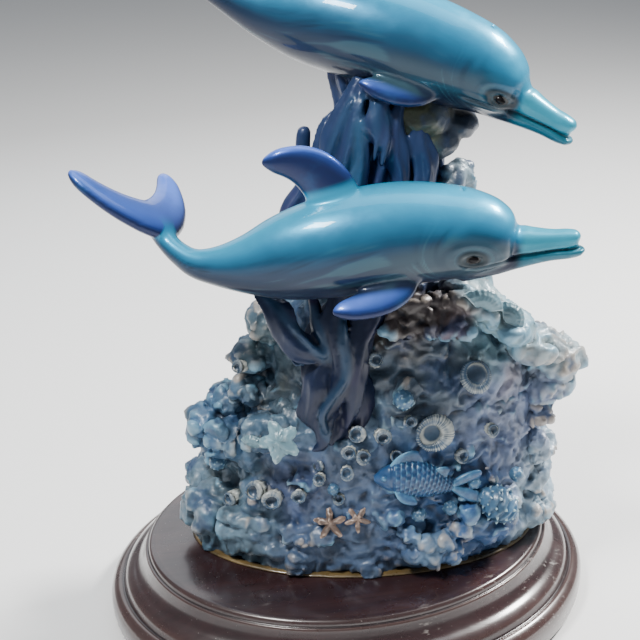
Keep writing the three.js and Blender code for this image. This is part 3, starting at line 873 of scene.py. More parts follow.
def bareness(points):
    """How little dry-brushing there is: none on the high rock, little on the crust, much on the shelf,
    where it is partly a painted highlight on the lit rims.
    """
    shelf = nearness(points, SHELF, 11)
    crust = nearness(points, BROWN_CRUST, 7)
    return smoothstep(SMOOTH_ROCK - 4, SMOOTH_ROCK + 2, points[:, 2]) + 0.5 * crust - 0.42 * shelf


def reef_piece(name, low, high, count, seed, replaces=()):
    """One piece of the reef between two heights, with `count` tries at loose growth on it."""
    parts = [mound(low, high)]
    near_join = 4                       # coral heads this near the join belong to both pieces
    for i, (middle, radii) in enumerate(CORAL_HEADS):
        if low - near_join < middle[2] < high + near_join:
            parts.append(knob(middle, radii, 3.0 * i))
    parts += [plate(*p) for p in PLATES if low <= p[0][2] < high]
    parts += scatter_growth(low, high, count)
    if high > SPLIT:
        parts += brown_crust()
    shape = fused(join(*parts), REEF_VOXEL)
    shape = relaxed(shape, 1, 0.4)
    shape = trimmed_below(weathered(shape, seed), 0.3)
    attributes = {
        "hollow": hollowness(shape, 8),
        "tint": reef_tint(shape.verts),
        "bare": bareness(shape.verts),
    }
    place(shape, name, materials["reef"], attributes, replaces=replaces)


# The reef's paint, region by region: middle, reach, colour (linear). The pale shelf, its cream rims and
# the pale right side also hold painted light from the upper right.
REEF_PAINT = [
    ((-28, -15, 57), 24, (0.085, 0.165, 0.26)), ((-40, -8, 38), 14, (0.070, 0.175, 0.33)),
    ((-42, -5, 12), 24, (0.13, 0.215, 0.29)), ((-22, -18, 58), 11, (0.115, 0.135, 0.12)),
    ((-24, -14, 66), 12, (0.13, 0.19, 0.19)), ((5, -29, 14), 24, (0.085, 0.14, 0.25)),
    ((-16, -26, 30), 12, (0.075, 0.11, 0.23)), ((28, -30, 20), 20, (0.060, 0.16, 0.38)),
    ((20, -24, 82), 13, (0.085, 0.068, 0.066)), ((30, -27, 79), 6, (0.18, 0.13, 0.13)),
    ((44, -18, 76), 14, (0.36, 0.56, 0.64)), ((31, -27, 73), 3.4, (0.42, 0.17, 0.045)),
    ((39, -25, 74), 6, (0.055, 0.19, 0.30)), ((24, -28, 74), 4, (0.030, 0.060, 0.16)),
    ((20, -28, 66), 6, (0.12, 0.105, 0.10)), ((28, -26, 62), 14, (0.085, 0.13, 0.19)),
    ((50, -17, 56), 7, (0.26, 0.22, 0.26)), ((52, -14, 44), 20, (0.20, 0.26, 0.42)),
    ((58, -12, 63), 12, (0.46, 0.58, 0.64)), ((64, -6, 62), 13, (0.50, 0.62, 0.68)),
    ((60, 0, 22), 18, (0.40, 0.54, 0.66)), ((24, -33, 13), 9, (0.34, 0.54, 0.74)),
    ((15, -12, 130), 9, (0.080, 0.085, 0.045)), ((24, -13, 132), 8, (0.075, 0.088, 0.050)),
    ((23, -15, 124), 5, (0.060, 0.13, 0.16)), ((33, -6, 126), 9, (0.028, 0.045, 0.080)),
    ((33, -7, 112.5), 6, (0.40, 0.54, 0.62)), ((44, -24, 81), 7, (0.50, 0.57, 0.50)),
    ((56, -18, 68), 7, (0.44, 0.55, 0.56)), ((22, -12, 100), 18, (0.03, 0.05, 0.12)),
    ((0, 25, 40), 40, (0.12, 0.20, 0.30)),
]


def reef_tint(points):
    """The regions' colours, blended by distance and wandering a little at their borders."""
    weights = []
    wander = np.stack([fractal(points, 8.0, 2, 5.0 + k) for k in range(3)], axis=1) * 4.0
    for middle, reach, _ in REEF_PAINT:
        distance = np.linalg.norm((points + wander - vec(*middle)) / reach, axis=1)
        weights.append(np.exp(-3.0 * distance ** 2) + 1e-5)
    weights = np.array(weights)
    weights /= weights.sum(axis=0)
    return weights.T @ np.array([colour for _, _, colour in REEF_PAINT])


# ------------------------------------------------------------------ kelp

# Blades: the curve up the middle, the width, the thickness, and the way the flat side faces.
KELP = [
    # A backing blade in the dark hollow behind the front bunch, darkened by the kelp's painted shade, then
    # the front bunch itself.
    ([(-4, -24, 42), (-2, -25, 54), (-1, -24, 68), (0, -20, 94)], 19, 5.0, (0, -1, 0.2)),
    ([(-4, -28, 69.5), (-11.5, -28.5, 76), (-17.5, -26, 82), (-23, -20, 90)], 9.5, 3.2, (-0.3, -1, 0.5)),
    ([(-9, -23, 88), (-6, -27, 79), (-5, -28.5, 70)], 4.2, 3.0, (-0.4, -1, 0.2)),
    ([(0, -24, 94), (-1.5, -28, 80), (-1.5, -29, 70), (-5, -30.5, 58), (-7, -29, 46)], 8.5, 3.4,
     (-0.2, -1, 0.2)),
    ([(-2, -28, 70), (-8.5, -29, 64), (-9.2, -29, 56), (-7, -28.5, 47)], 9, 3.2, (-0.5, -1, 0.2)),
    ([(4, -22, 94), (4.6, -26.5, 76), (3, -29, 62), (-1, -29, 49)], 9.5, 3.4, (0.4, -1, 0.2)),
    ([(-4, -28, 56), (-6.5, -30, 47), (-9.5, -30, 42.5)], 5.5, 3.0, (-0.2, -1, 0.2)),
    ([(9, -20, 100), (9, -24.5, 84), (6.5, -27, 72)], 7, 3.6, (0.3, -1, 0.2)),
    # The fan of blades that wraps the upper trunk.
    ([(2, -12, 84), (-12, -9, 100), (-9, -7, 113), (-3, -5, 122)], 10, 5, (-0.6, -1, 0)),
    ([(-1, -9, 98), (-4.6, -6.5, 118), (0.2, -4, 132.4)], 8.5, 3.6, (-0.3, -1, 0)),
    ([(5.5, -9, 143), (1.0, -12, 130), (-3.5, -12, 117), (-7, -12, 102)], 7, 3.2, (-0.5, -1, 0)),
    ([(8.5, -11, 142), (5.0, -14.5, 130), (1.4, -15.5, 118), (-1.5, -17, 102)], 6.5, 3.2, (-0.4, -1, 0)),
    ([(6.8, -15, 133), (5.6, -16.5, 122), (4.4, -19, 100)], 5.5, 2.6, (0, -1, 0)),
    ([(10.3, -12, 142), (11.4, -16.5, 131), (11.2, -17.5, 120.5)], 7.0, 4.0, (0.1, -1, 0)),
    ([(16.5, -12, 138), (16, -15.5, 124), (15.5, -18, 104)], 6.5, 3.2, (0.2, -1, 0)),
    ([(23, -12, 132), (22.5, -14.5, 120), (23, -16, 103)], 8, 3.6, (0.3, -1, 0)),
]
LIGHT_BLADE = [(6.4, -16, 131), (5.4, -17.2, 122), (4.6, -19, 108)]
# Raised ribs along the front bunch and the trunk's blades: the path and the radius.
KELP_RIBS = [
    ([(0.5, -29.6, 82), (-0.2, -30.4, 76), (0.6, -30.9, 71), (0.1, -31.4, 65.5), (-3.8, -32.2, 60),
      (-6.4, -32.4, 55.7), (-6.1, -31.8, 51.4), (-4.9, -30.5, 47.5)], 1.05),
    ([(-4.6, -29.8, 71), (-9.5, -30.0, 76.5), (-14.5, -28.2, 82), (-21.5, -22.0, 89)], 0.75),
    ([(-14.6, -25.5, 70.5), (-12.4, -28.2, 69.0), (-9.3, -28.6, 70.6)], 0.7),
    ([(-8.0, -25.5, 84), (-5.4, -28.4, 77), (-4.8, -29.8, 71)], 0.65),
    ([(4.5, -13.5, 138), (-1.5, -14, 124), (-4.5, -13.5, 112)], 0.7),
    ([(7.4, -14, 138), (2.8, -17, 124), (0.5, -18, 112)], 0.75),
    ([(10.2, -16, 138), (10.4, -18.8, 129), (9.6, -19.2, 122.5)], 0.7),
    ([(13.4, -16, 134), (12.9, -19, 127), (11.4, -19.3, 121)], 0.65),
]
# The rounded frond that stands up on the left: its path and radius.
FINGER = [(-8.6, -3.5, 112), (-9.0, -2.5, 121), (-8.4, -2.0, 128.2)]
FINGER_RADIUS = 2.1
# The trunk behind the blades: height, then its reach to the left, right, front and back.
TRUNK = [
    (78, 14, 31, 17.5, 19), (95, 13.5, 29.5, 17, 17), (103, 12, 29, 16, 16), (112, 8.5, 29.5, 15, 15),
    (121, 3.8, 29, 13.5, 13.5), (131, -0.6, 27, 11, 11.5), (143, 1.0, 19, 7, 8), (149, 0.5, 15, 5, 6),
]


def kelp_blade(points, width, thickness, facing, seed):
    """A leathery blade: thick down its midrib, with soft ribs and a wavy thin edge."""
    rows, around = 90, 30
    middle = spline(points, rows)
    ahead = unit(np.gradient(middle, axis=0))
    side = unit(np.cross(ahead, vec(*facing)))
    out = np.cross(side, ahead)
    t = np.linspace(0, 1, rows)
    swell = 0.03 + 0.97 * np.sin(np.pi * (0.10 + 0.89 * t)) ** 0.8
    sway = 0.13 * width * np.sin(9.0 * t + seed)
    middle = middle + side * sway[:, None]
    angle = np.linspace(0, 2 * np.pi, around, endpoint=False)
    c, s = np.cos(angle)[None, :], np.sin(angle)[None, :]
    half = (width / 2 * swell)[:, None] * (1 + 0.10 * np.sin(15 * t[:, None] + 3 * np.sign(c) + seed))
    lens = np.sign(s) * np.abs(s) ** 1.2
    rib = 1 + 0.45 * np.exp(-(c / 0.20) ** 2) + 0.12 * np.cos(8 * c + seed)
    depth = thickness / 2 * lens * rib * (0.3 + 0.7 * swell)[:, None]
    curl = 0.14 * width * c ** 2 * np.sin(9 * t[:, None] + seed + 1.5 * c)
    x, z = half * c, depth + curl
    return loft(middle[:, None, :] + side[:, None, :] * x[..., None] + out[:, None, :] * z[..., None])


def stalk(path, radius, rows=60, around=16):
    """A round-ended stem or rib along a path."""
    middle = spline(path, rows)
    ahead = unit(np.gradient(middle, axis=0))
    side = unit(np.cross(ahead, vec(0.3, -1, 0.2)))
    t = np.linspace(-1, 1, rows)
    reach = (radius * np.sqrt(np.clip(1 - np.abs(t) ** 8, 0.02, 1)))[:, None]
    return loft(oval(middle, side * reach, np.cross(side, ahead) * reach, around))


def trunk():
    """The draped trunk that carries the upper dolphin, in deep folds that drift as they rise."""
    z = np.linspace(TRUNK[0][0], TRUNK[-1][0], 120)
    left, right, front, back = (column[:, None] for column in ease(TRUNK, z).T)
    angle = np.linspace(0, 2 * np.pi, 300, endpoint=False)[None, :]
    height = z[:, None]
    lean = (height - 110) / 46
    broad = np.abs(np.sin(5.5 * angle + lean + 0.8 * np.sin(height / 13)
                          + 0.6 * np.sin(3 * angle + height / 21)))
    narrow = np.abs(np.sin(12.5 * angle + 2 * lean + 1.4 * np.sin(height / 9 + 2 * angle)))
    fold = 1.9 * (broad - 0.6) + 1.0 * (narrow - 0.6)
    reach_y = np.where(np.sin(angle) < 0, front, back)
    x = (right - left) / 2 + np.cos(angle) * ((left + right) / 2 + fold)
    y = np.sin(angle) * (reach_y + fold)
    return loft(np.stack([x, y, np.broadcast_to(height, x.shape)], axis=-1))


def nearness(points, path, reach):
    """1 on a path, falling to 0 at `reach` from it."""
    steps = spline(path, 40)
    distance = np.min([np.linalg.norm(points - step, axis=1) for step in steps], axis=0)
    return 1 - smoothstep(0.3 * reach, reach, distance)


def kelp():
    """The trunk, its frond, the blades and their ribs, fused into one leathery skin."""
    blades = [kelp_blade(*blade, 1.7 * i) for i, blade in enumerate(KELP)]
    ribs = [stalk(*rib) for rib in KELP_RIBS]
    shape = fused(join(trunk(), stalk(FINGER, FINGER_RADIUS), *blades, *ribs), KELP_VOXEL)
    shape = relaxed(shape, 2, 0.4)
    grain = fractal(shape.verts * vec(1, 1, 0.3), 2.2, 2, 4.0)
    shape = Shape(shape.verts + normals_of(shape) * (0.14 * grain)[:, None], shape.faces)
    # Paler along the ribs as a painted highlight, and on the light-blue blade as its own paint.
    rib_highlight = np.max([nearness(shape.verts, path, 2.2) for path, _ in KELP_RIBS], axis=0)
    teal_and_rib_highlight = np.maximum(nearness(shape.verts, LIGHT_BLADE, 3.4), 0.40 * rib_highlight)
    # How high the kelp stands, for painted light: the upper kelp is painted lighter, the lower darker.
    high = smoothstep(88, 118, shape.verts[:, 2])
    attributes = {"hollow": hollowness(shape, 12), "teal_and_rib_highlight": teal_and_rib_highlight, "high": high}
    place(shape, "kelp_trunk", materials["kelp"], attributes)


# ------------------------------------------------------------------ shells, fish and small corals

def cup(middle, radius, length, out, seed=0.0):
    """A cup coral or barnacle: a fluted stub under a thick, uneven ring of a lip."""
    ring = ring_shell(middle, 0.82 * radius, 0.21 * radius, out, seed)
    outline = [(0.8 * radius, -length), (0.97 * radius, -0.3 * radius), (0.6 * radius, -1.1 * radius)]
    stub = turned((0, 0, 0), (0, 0, 1), outline, 30)
    x, y, z = stub.verts.T
    flute = 1 + 0.09 * np.cos(9 * np.arctan2(y, x) + seed)
    stub.verts = np.stack([x * flute, y * flute, z], axis=1)
    return join(ring, aimed(stub, out, middle))


# The cup corals that stand out: middle of the mouth, radius, length, facing.
CUPS = [
    ((3, -30.5, 48), 2.3, 5, (0, -1, 0.35)), ((10.4, -31, 47), 2.1, 5, (0.2, -1, 0.3)),
    ((0.6, -31.3, 42.5), 1.9, 5, (-0.2, -1, 0.3)), ((4.8, -31.2, 41), 2.0, 5, (0.1, -1, 0.2)),
    ((0, -31.3, 36), 1.9, 5, (0, -1, 0.3)), ((-27, -25, 27.5), 2.7, 6, (-0.4, -1, 0.4)),
    ((-21.8, -27.5, 25.5), 2.7, 6, (-0.2, -1, 0.3)), ((8.8, -27.6, 69.3), 1.9, 6, (0.0, -0.9, 0.6)),
    ((-8, -29, 33), 1.7, 4, (-0.2, -1, 0.3)), ((14, -30.5, 40.5), 1.7, 4, (0.1, -1, 0.4)),
    ((18, -30, 51), 1.6, 4, (0.1, -1, 0.3)), ((-14, -28.5, 27), 2.0, 4, (-0.2, -1, 0.2)),
    ((33, -27.5, 38), 2.1, 4, (0.3, -1, 0.3)), ((42, -24, 44), 1.9, 4, (0.4, -1, 0.2)),
    ((-35, -17, 20), 2.1, 5, (-0.6, -1, 0.2)), ((-30, -14, 62), 1.9, 5, (-0.7, -1, 0.3)),
]


def cup_corals():
    """The placed cups, then small ones scattered over the mound."""
    cups = [cup(*row, 1.3 * i) for i, row in enumerate(CUPS)]
    for _ in range(14):
        z = random.uniform(5, 84)
        point, out = surface_of_mound(random.uniform(0, 2 * np.pi), z)
        if behind_kelp(point):
            continue
        lean = unit(out + random.uniform(-0.35, 0.35, 3))
        radius = random.uniform(1.0, 2.3)
        cups.append(cup(point + 1.2 * lean, radius, 3.2, lean, random.uniform(0, 6)))
    place_small("cup_corals", "ring_shell", *cups)


def ring_shell(middle, radius, tube, out, heavy_side, depth=2.6, around_ring=54, around_lip=12):
    """A round open mouth with a crusty lip, thicker on one side, over a dished floor."""
    a = np.linspace(0, 2 * np.pi, around_ring, endpoint=False)[:, None]
    b = np.linspace(0, 2 * np.pi, around_lip, endpoint=False)[None, :]
    crust = 0.08 * np.sin(23 * a + 4 * np.sin(5 * a)) + 0.07 * np.sin(37 * a + 3 * np.sin(7 * a))
    lip = tube * (1 + 0.58 * np.cos(a - heavy_side) + crust)
    r = radius * (1 + 0.05 * np.sin(2 * a + heavy_side)) + lip * np.cos(b)
    rise = 0.75 * lip * np.sin(b) + 0.3 * np.cos(2 * a + heavy_side) + 0.06 * np.cos(5 * b)
    verts = np.stack([r * np.cos(a), r * np.sin(a), rise], axis=-1).reshape(-1, 3)
    i, j = np.meshgrid(np.arange(around_ring), np.arange(around_lip), indexing="ij")
    here, after, k = i * around_lip, (i + 1) % around_ring * around_lip, (j + 1) % around_lip
    quads = np.stack([here + j, after + j, after + k, here + k], axis=-1).reshape(-1, 4)
    faces, _ = facing_out(verts, quads)
    bowl = [(0.8 * radius, -4.2 * tube), (1.02 * radius, -1.2 * tube), (1.0 * radius, -0.5 * tube),
            (0.8 * radius, -0.55 * depth * tube), (0.45 * radius, -0.9 * depth * tube),
            (0.08 * radius, -depth * tube)]
    shape = join(Shape(verts, faces), turned((0, 0, 0), (0, 0, 1), bowl, 40))
    return aimed(shape, out, middle)


def ring_shells():
    """A big ring-shaped shell on the front, and a cup shell above it to the right."""
    place_small("ring_shells", "ring_shell",
                ring_shell((24.0, -30, 47), 4.1, 1.25, (0.15, -1, 0.25), 0.3, 0.8, 160, 18),
                ring_shell((36.5, -25.5, 62.5), 3.7, 0.85, (0.05, -1, 0.55), -1.9, 1.6, 160, 18))


def ribbed_fan(middle, radius, out, roll, seed):
    """A scallop-like shell: a domed fan with ribs that spread from its hinge."""
    rows, around = 26, 61
    u = np.linspace(0.04, 1, rows)[:, None]
    a = np.linspace(-1.15, 1.15, around)[None, :]
    reach = radius * u * (1 + 0.010 * np.cos(23 * a) + 0.03 * np.sin(3 * a + seed))
    x, y = reach * np.sin(a) * 1.05, reach * np.cos(a) - 0.5 * radius
    dome = 0.42 * radius * np.cos(np.clip(a, -1.2, 1.2)) * np.sin(np.pi * np.clip(u, 0, 1) * 0.78)
    z = dome + 0.05 * u * np.cos(23 * a) + 0.05 * np.cos(26 * u)
    top = np.stack([x, y, z], axis=-1)
    low = np.stack([x, y, z * 0.6 - 0.8], axis=-1)
    return aimed(loft(np.concatenate([top, low[:, ::-1]], axis=1)), out, middle, roll)


def fan_shells():
    """The fans on the shelf, a lobed leaf of coral on the left, and fans round the back."""
    place_small(
        "fan_shells", "fan_shell",
        ribbed_fan((38, -25, 84.5), 6.2, (0.25, -1, 0.35), -0.25, 0),
        ribbed_fan((46, -22.5, 79), 5.4, (0.35, -1, 0.5), -0.7, 1),
        starfish((-18.5, -27.6, 45), 6.4, (-0.3, -1, 0.35), 0.5, 0.62),
        ribbed_fan((-26, -23.5, 43), 4.0, (-0.5, -1, 0.4), -0.5, 5),
        ribbed_fan((10, 26.5, 44), 5.0, (0.0, 1, 0.4), 0.7, 9),
        ribbed_fan((-22, 25, 36), 4.8, (-0.4, 1, 0.4), 2.7, 10),
        ribbed_fan((34, 25, 40), 4.8, (0.4, 1, 0.3), 1.9, 11))


FISH_LINE = [(7.5, -31, 34), (17, -31.4, 34), (26, -30.4, 31.4), (31, -29, 29.6)]
# Along the fish from its lips (0) to its tail (1): half height, half width.
FISH_BODY = [
    (0, 0.9, 0.9), (0.08, 2.6, 1.9), (0.35, 5.4, 3.4), (0.7, 4.4, 2.7), (0.92, 2.2, 1.5), (1, 2.0, 1.2),
]
# The dorsal fin, the low fin, the second dorsal fin and the tail's two lobes: leading edge,
# trailing edge, thickness, rows, points round.
FISH_FINS = [
    ([(11, -31.5, 36.5), (14, -32, 43.5), (20, -31, 42.5)],
     [(23, -30, 34), (22, -31, 38), (20.4, -31, 41.5)], 1.6, 30, 20),
    ([(13, -33.5, 31), (14, -35, 27), (19, -34, 26.5)],
     [(17, -33, 31), (19, -33.6, 29), (19.6, -34, 27)], 1.2, 24, 16),
    ([(23, -31, 35), (26, -32, 38.5), (29, -31, 36.5)],
     [(28, -30.5, 32), (28, -31, 34), (29, -31, 36)], 1.4, 24, 16),
    ([(29, -30, 31), (34, -30.5, 35.5), (38.5, -28.5, 34)],
     [(30, -29.5, 29.5), (34, -30, 31), (38, -28.5, 31.8)], 2.2, 30, 20),
    ([(29, -30, 29), (34, -30.5, 24), (38, -28.5, 23.5)],
     [(30, -29.5, 30.5), (34, -30, 29), (38, -28.5, 27)], 2.2, 30, 20),
]
SCALE_ROWS, SCALES_ROUND = 20, 15


def fish():
    """A small reef fish lying against the mound, its head to the left."""
    rows, around = 140, 90
    middle = spline(FISH_LINE, rows)
    ahead = unit(np.gradient(middle, axis=0))
    t = np.linspace(0, 1, rows)
    high, wide = ease(FISH_BODY, t).T
    side = unit(np.cross(vec(0, 0, 1), ahead))
    up = np.cross(ahead, side)
    body = loft(oval(middle, side * wide[:, None], up * high[:, None], around))
    angle = np.tile(np.arange(around), rows) / around
    along = np.repeat(t, around)
    row = np.floor(along * SCALE_ROWS)
    scale = np.abs(((angle * SCALES_ROUND + 0.5 * (row % 2)) % 1.0) - 0.5) + (along * SCALE_ROWS) % 1.0
    on_body = smoothstep(0.2, 0.26, along) * (1 - smoothstep(0.9, 0.98, along))
    gill = bump(along, 0.21, 0.018)
    body.verts += normals_of(body) * (0.42 * (0.7 - scale) * on_body - 0.35 * gill)[:, None]
    fins = [wing(*fin) for fin in FISH_FINS]
    place_small("reef_fish", "fish", body, ball((10.2, -33.2, 35.2), 0.9, 12, 18), *fins)


def conch():
    """A spiky whelk lying at the mound's right foot, its spire to the left."""
    rows, around = 120, 72
    middle = spline([(38, -29, 27), (43, -28, 22.5), (47.5, -26, 16.5)], rows)
    ahead = unit(np.gradient(middle, axis=0))
    side = unit(np.cross(vec(0, 0, 1), ahead))
    up = np.cross(ahead, side)
    t = np.linspace(0, 1, rows)[:, None]
    a = np.linspace(0, 2 * np.pi, around, endpoint=False)[None, :]
    radius = 0.7 + 3.9 * np.sin(np.pi * (0.05 + 0.86 * t)) ** 1.1
    whorl = 6.5 * t - a / (2 * np.pi)
    step = whorl % 1.0
    spikes = np.clip(np.cos(9 * a + 2.0 * np.floor(whorl)), 0, 1) ** 3 * bump(step, 0.55, 0.16)
    r = radius * (1 + 0.10 * np.sin(2 * np.pi * step) + 0.34 * spikes)
    over, rise = (r * np.cos(a))[..., None], (r * np.sin(a))[..., None]
    rings = middle[:, None, :] + side[:, None, :] * over + up[:, None, :] * rise
    place_small("spiky_whelk", "shell", loft(rings))


def starfish(middle, reach, out, roll, waist=0.34):
    """Five arms about a middle; a wide waist makes a lobed leaf of coral."""
    shape = unit_ball(20, 100)
    x, y, z = shape.verts.T
    angle = np.arctan2(y, x)
    flat = np.hypot(x, y)
    star = waist + (1 - waist) * np.abs(np.cos(2.5 * angle)) ** 2.2
    rise = z * 0.26 * reach * (1 - 0.6 * flat) + 0.05 * np.cos(30 * flat)
    verts = np.stack([x * star * reach, y * star * reach, rise], axis=1)
    verts += shape.verts * (0.5 * fractal(verts, 1.3, 2, roll))[:, None]
    return aimed(Shape(verts, shape.faces), out, middle, roll)


def starfish_pair():
    """The two starfish side by side at the foot of the reef."""
    place_small("starfish", "pale_shell",
                starfish((-5.2, -30.3, 19), 4.8, (-0.1, -1, 0.5), 0.3),
                starfish((2.6, -31, 20.6), 3.8, (0.1, -1, 0.5), 1.0))


SPONGE_BALLS = [
    ((16, -30, 58), 3.0), ((20, -32.2, 22.3), 2.2), ((29, -31.5, 23.7), 2.2), ((36, -28.5, 30), 2.0),
    ((-4, -28, 29), 1.8), ((49, -23.5, 29), 2.3), ((-38, -12, 30), 2.6),
]


def sponge_ball(middle, radius):
    """A dimpled ball of sponge, its dimples no smaller than those of a 2.6 mm one."""
    shape = unit_ball(32, 48)
    cell = cells(shape.verts, 0.42 * 2.6 / max(radius, 2.6) + 0.02, 3.0 + middle[0])
    dimple = smoothstep(0.0, 0.5, cell[:, 0])
    verts = shape.verts * (radius * (0.93 + 0.14 * (1 - dimple)))[:, None]
    return Shape(verts + vec(*middle), shape.faces)


def glue_line():
    """The bead of amber glue that shows along the reef's front foot."""
    angle = np.linspace(1.03 * np.pi, 1.93 * np.pi, 150)
    left, right, front = MOUND[0][1:4]
    x = (right - left) / 2 + np.cos(angle) * ((left + right) / 2 + 1.0)
    y = np.sin(angle) * (front + 1.3)
    wobble = fractal(np.stack([x, y, 0 * x], axis=1), 6.0, 2, 3.0)
    middle = np.stack([x, y + 0.4 * wobble, 0 * x + 0.35], axis=1)
    ahead = unit(np.gradient(middle, axis=0))
    side = np.cross(ahead, vec(0, 0, 1))
    width = (1.5 + 0.6 * wobble) * np.sin(np.linspace(0.03, np.pi - 0.03, 150)) ** 0.3
    rings = oval(middle, side * width[:, None], vec(0, 0, 0.5) * np.ones((150, 1)), 14)
    place(loft(rings), "glue_line", materials["glue"])


# ------------------------------------------------------------------ plinth

# The moulding from the foot up: how far in from the widest oval, and the height.
TORUS = [(2.6, 0.0), (0.7, 1.2), (0.0, 4.0), (0.0, 7.6), (0.8, 9.7), (2.4, 10.9), (3.3, 11.1)]
LOW_QUIRK = [(3.75, 10.8), (4.1, 10.75), (4.35, 11.2)]
OGEE = [(4.5, 11.6), (5.2, 13.2), (6.8, 14.5), (8.9, 15.6), (10.4, 17.4), (11.2, 19.4), (11.7, 21.0)]
HIGH_QUIRK = [(12.0, 21.15), (12.35, 21.0), (12.6, 21.2)]
TOP_EDGE = [(12.65, 21.6), (12.9, 22.3), (13.6, 22.85)]
TOP_INSETS = (15.0, 18.0, 24.0, 34.0, 46.0, 56.0)


def plinth():
    """The oval moulded base: a foot, a full torus, a quirk, an ogee, a quirk and a flat top."""
    length, width = ((PLINTH_HIGH - PLINTH_LOW) / MM)[:2]
    top = (PLINTH_HIGH.z - PLINTH_LOW.z) / MM
    flat_top = [(inset, top) for inset in TOP_INSETS]
    outline = spline_2d(TORUS, 26) + LOW_QUIRK + spline_2d(OGEE, 26) + HIGH_QUIRK
    outline += spline_2d(TOP_EDGE + flat_top[:1], 12) + flat_top[1:]
    angle = np.linspace(0, 2 * np.pi, 200, endpoint=False)
    rings = []
    for inset, z in outline:
        x = (length / 2 - inset) * np.cos(angle)
        y = (width / 2 - inset) * np.sin(angle)
        rings.append(np.stack([x, y, np.full(len(angle), z - top)], axis=1))
    shape = loft(rings)
    turn_back = np.array(Matrix.Rotation(-CASTING_TURN, 3, "Z"))
    shape.verts = shape.verts @ turn_back.T
    # How far the moulding lies below its surroundings, for painted shade in its grooves and painted
    # highlights on its beads.
    attributes = {"hollow": hollowness(shape, 4)}
    place(shape, "wooden_plinth", materials["wood"], attributes, replaces=("plinth",))


def spline_2d(points, count):
    flat = [(x, y, 0) for x, y in points]
    return [(p[0], p[1]) for p in spline(flat, count)]


# ------------------------------------------------------------------ materials

class Paint:
    """A material being built: short calls for the nodes that the finishes share."""

    def __init__(self, name, **values):
        self.material = bpy.data.materials.new(name)
        self.material.use_nodes = True
        self.tree = self.material.node_tree
        self.shader = self.tree.nodes["Principled BSDF"]
        for socket, value in values.items():
            self.shader.inputs[socket.replace("_", " ")].default_value = value

    def link(self, source, target):
        self.tree.links.new(source, target)
        return source

    def feed(self, socket, value):
        if isinstance(value, bpy.types.NodeSocket):
            self.link(value, socket)
        elif isinstance(value, tuple) and len(value) == 3 and socket.type == "RGBA":
            socket.default_value = (*value, 1.0)
        else:
            socket.default_value = value

    def attribute(self, name, output="Fac"):
        node = self.tree.nodes.new("ShaderNodeAttribute")
        node.attribute_name = name
        return node.outputs[output]

    def noise(self, scale, detail=3.0, stretch=(1, 1, 1), roughness=0.55):
        """Cloudy noise from 0 to 1 whose lumps are about 1/scale of a metre across."""
        coordinates = self.tree.nodes.new("ShaderNodeTexCoord")
        mapping = self.tree.nodes.new("ShaderNodeMapping")
        mapping.inputs["Scale"].default_value = stretch
        self.link(coordinates.outputs["Object"], mapping.inputs["Vector"])
        node = self.tree.nodes.new("ShaderNodeTexNoise")
        node.inputs["Scale"].default_value = scale
        node.inputs["Detail"].default_value = detail
        node.inputs["Roughness"].default_value = roughness
        self.link(mapping.outputs["Vector"], node.inputs["Vector"])
        return node.outputs["Fac"]

    def ramp(self, value, *stops):
        """Colours or greys laid along a value: stops are (position, colour or grey)."""
        node = self.tree.nodes.new("ShaderNodeValToRGB")
        while len(node.color_ramp.elements) < len(stops):
            node.color_ramp.elements.new(0.5)
        for element, (position, colour) in zip(node.color_ramp.elements, stops):
            element.position = position
            grey = not isinstance(colour, tuple)
            element.color = (colour, colour, colour, 1) if grey else (*colour, 1)
        self.link(value, node.inputs["Fac"])
        return node.outputs["Color"]

    def math(self, operation, a, b=0.0, c=0.0):
        node = self.tree.nodes.new("ShaderNodeMath")
        node.operation = operation
        for socket, value in zip(node.inputs, (a, b, c)):
            self.feed(socket, value)
        return node.outputs[0]

    def range(self, value, low, high, to_low=0.0, to_high=1.0):
        node = self.tree.nodes.new("ShaderNodeMapRange")
        node.interpolation_type = "SMOOTHSTEP"
        for socket, number in zip(node.inputs, (value, low, high, to_low, to_high)):
            self.feed(socket, number)
        return node.outputs[0]

    def by(self, name, low, high, to_low=0.0, to_high=1.0):
        """A range read from one of the mesh's own attributes."""
        return self.range(self.attribute(name), low, high, to_low, to_high)

    def mix(self, amount, a, b, blend="MIX"):
        """Two colours laid over one another, the second by the amount given."""
        node = self.tree.nodes.new("ShaderNodeMix")
        node.data_type = "RGBA"
        node.blend_type = blend
        self.feed(node.inputs["Factor"], amount)
        self.feed(node.inputs[6], a)
        self.feed(node.inputs[7], b)
        return node.outputs[2]

    def bump(self, height, depth, strength=1.0):
        node = self.tree.nodes.new("ShaderNodeBump")
        node.inputs["Distance"].default_value = depth * MM
        node.inputs["Strength"].default_value = strength
        self.link(height, node.inputs["Height"])
        self.link(node.outputs["Normal"], self.shader.inputs["Normal"])

    def finish(self, colour, roughness=None):
        self.link(colour, self.shader.inputs["Base Color"])
        if roughness is not None:
            self.link(roughness, self.shader.inputs["Roughness"])
        return self.material


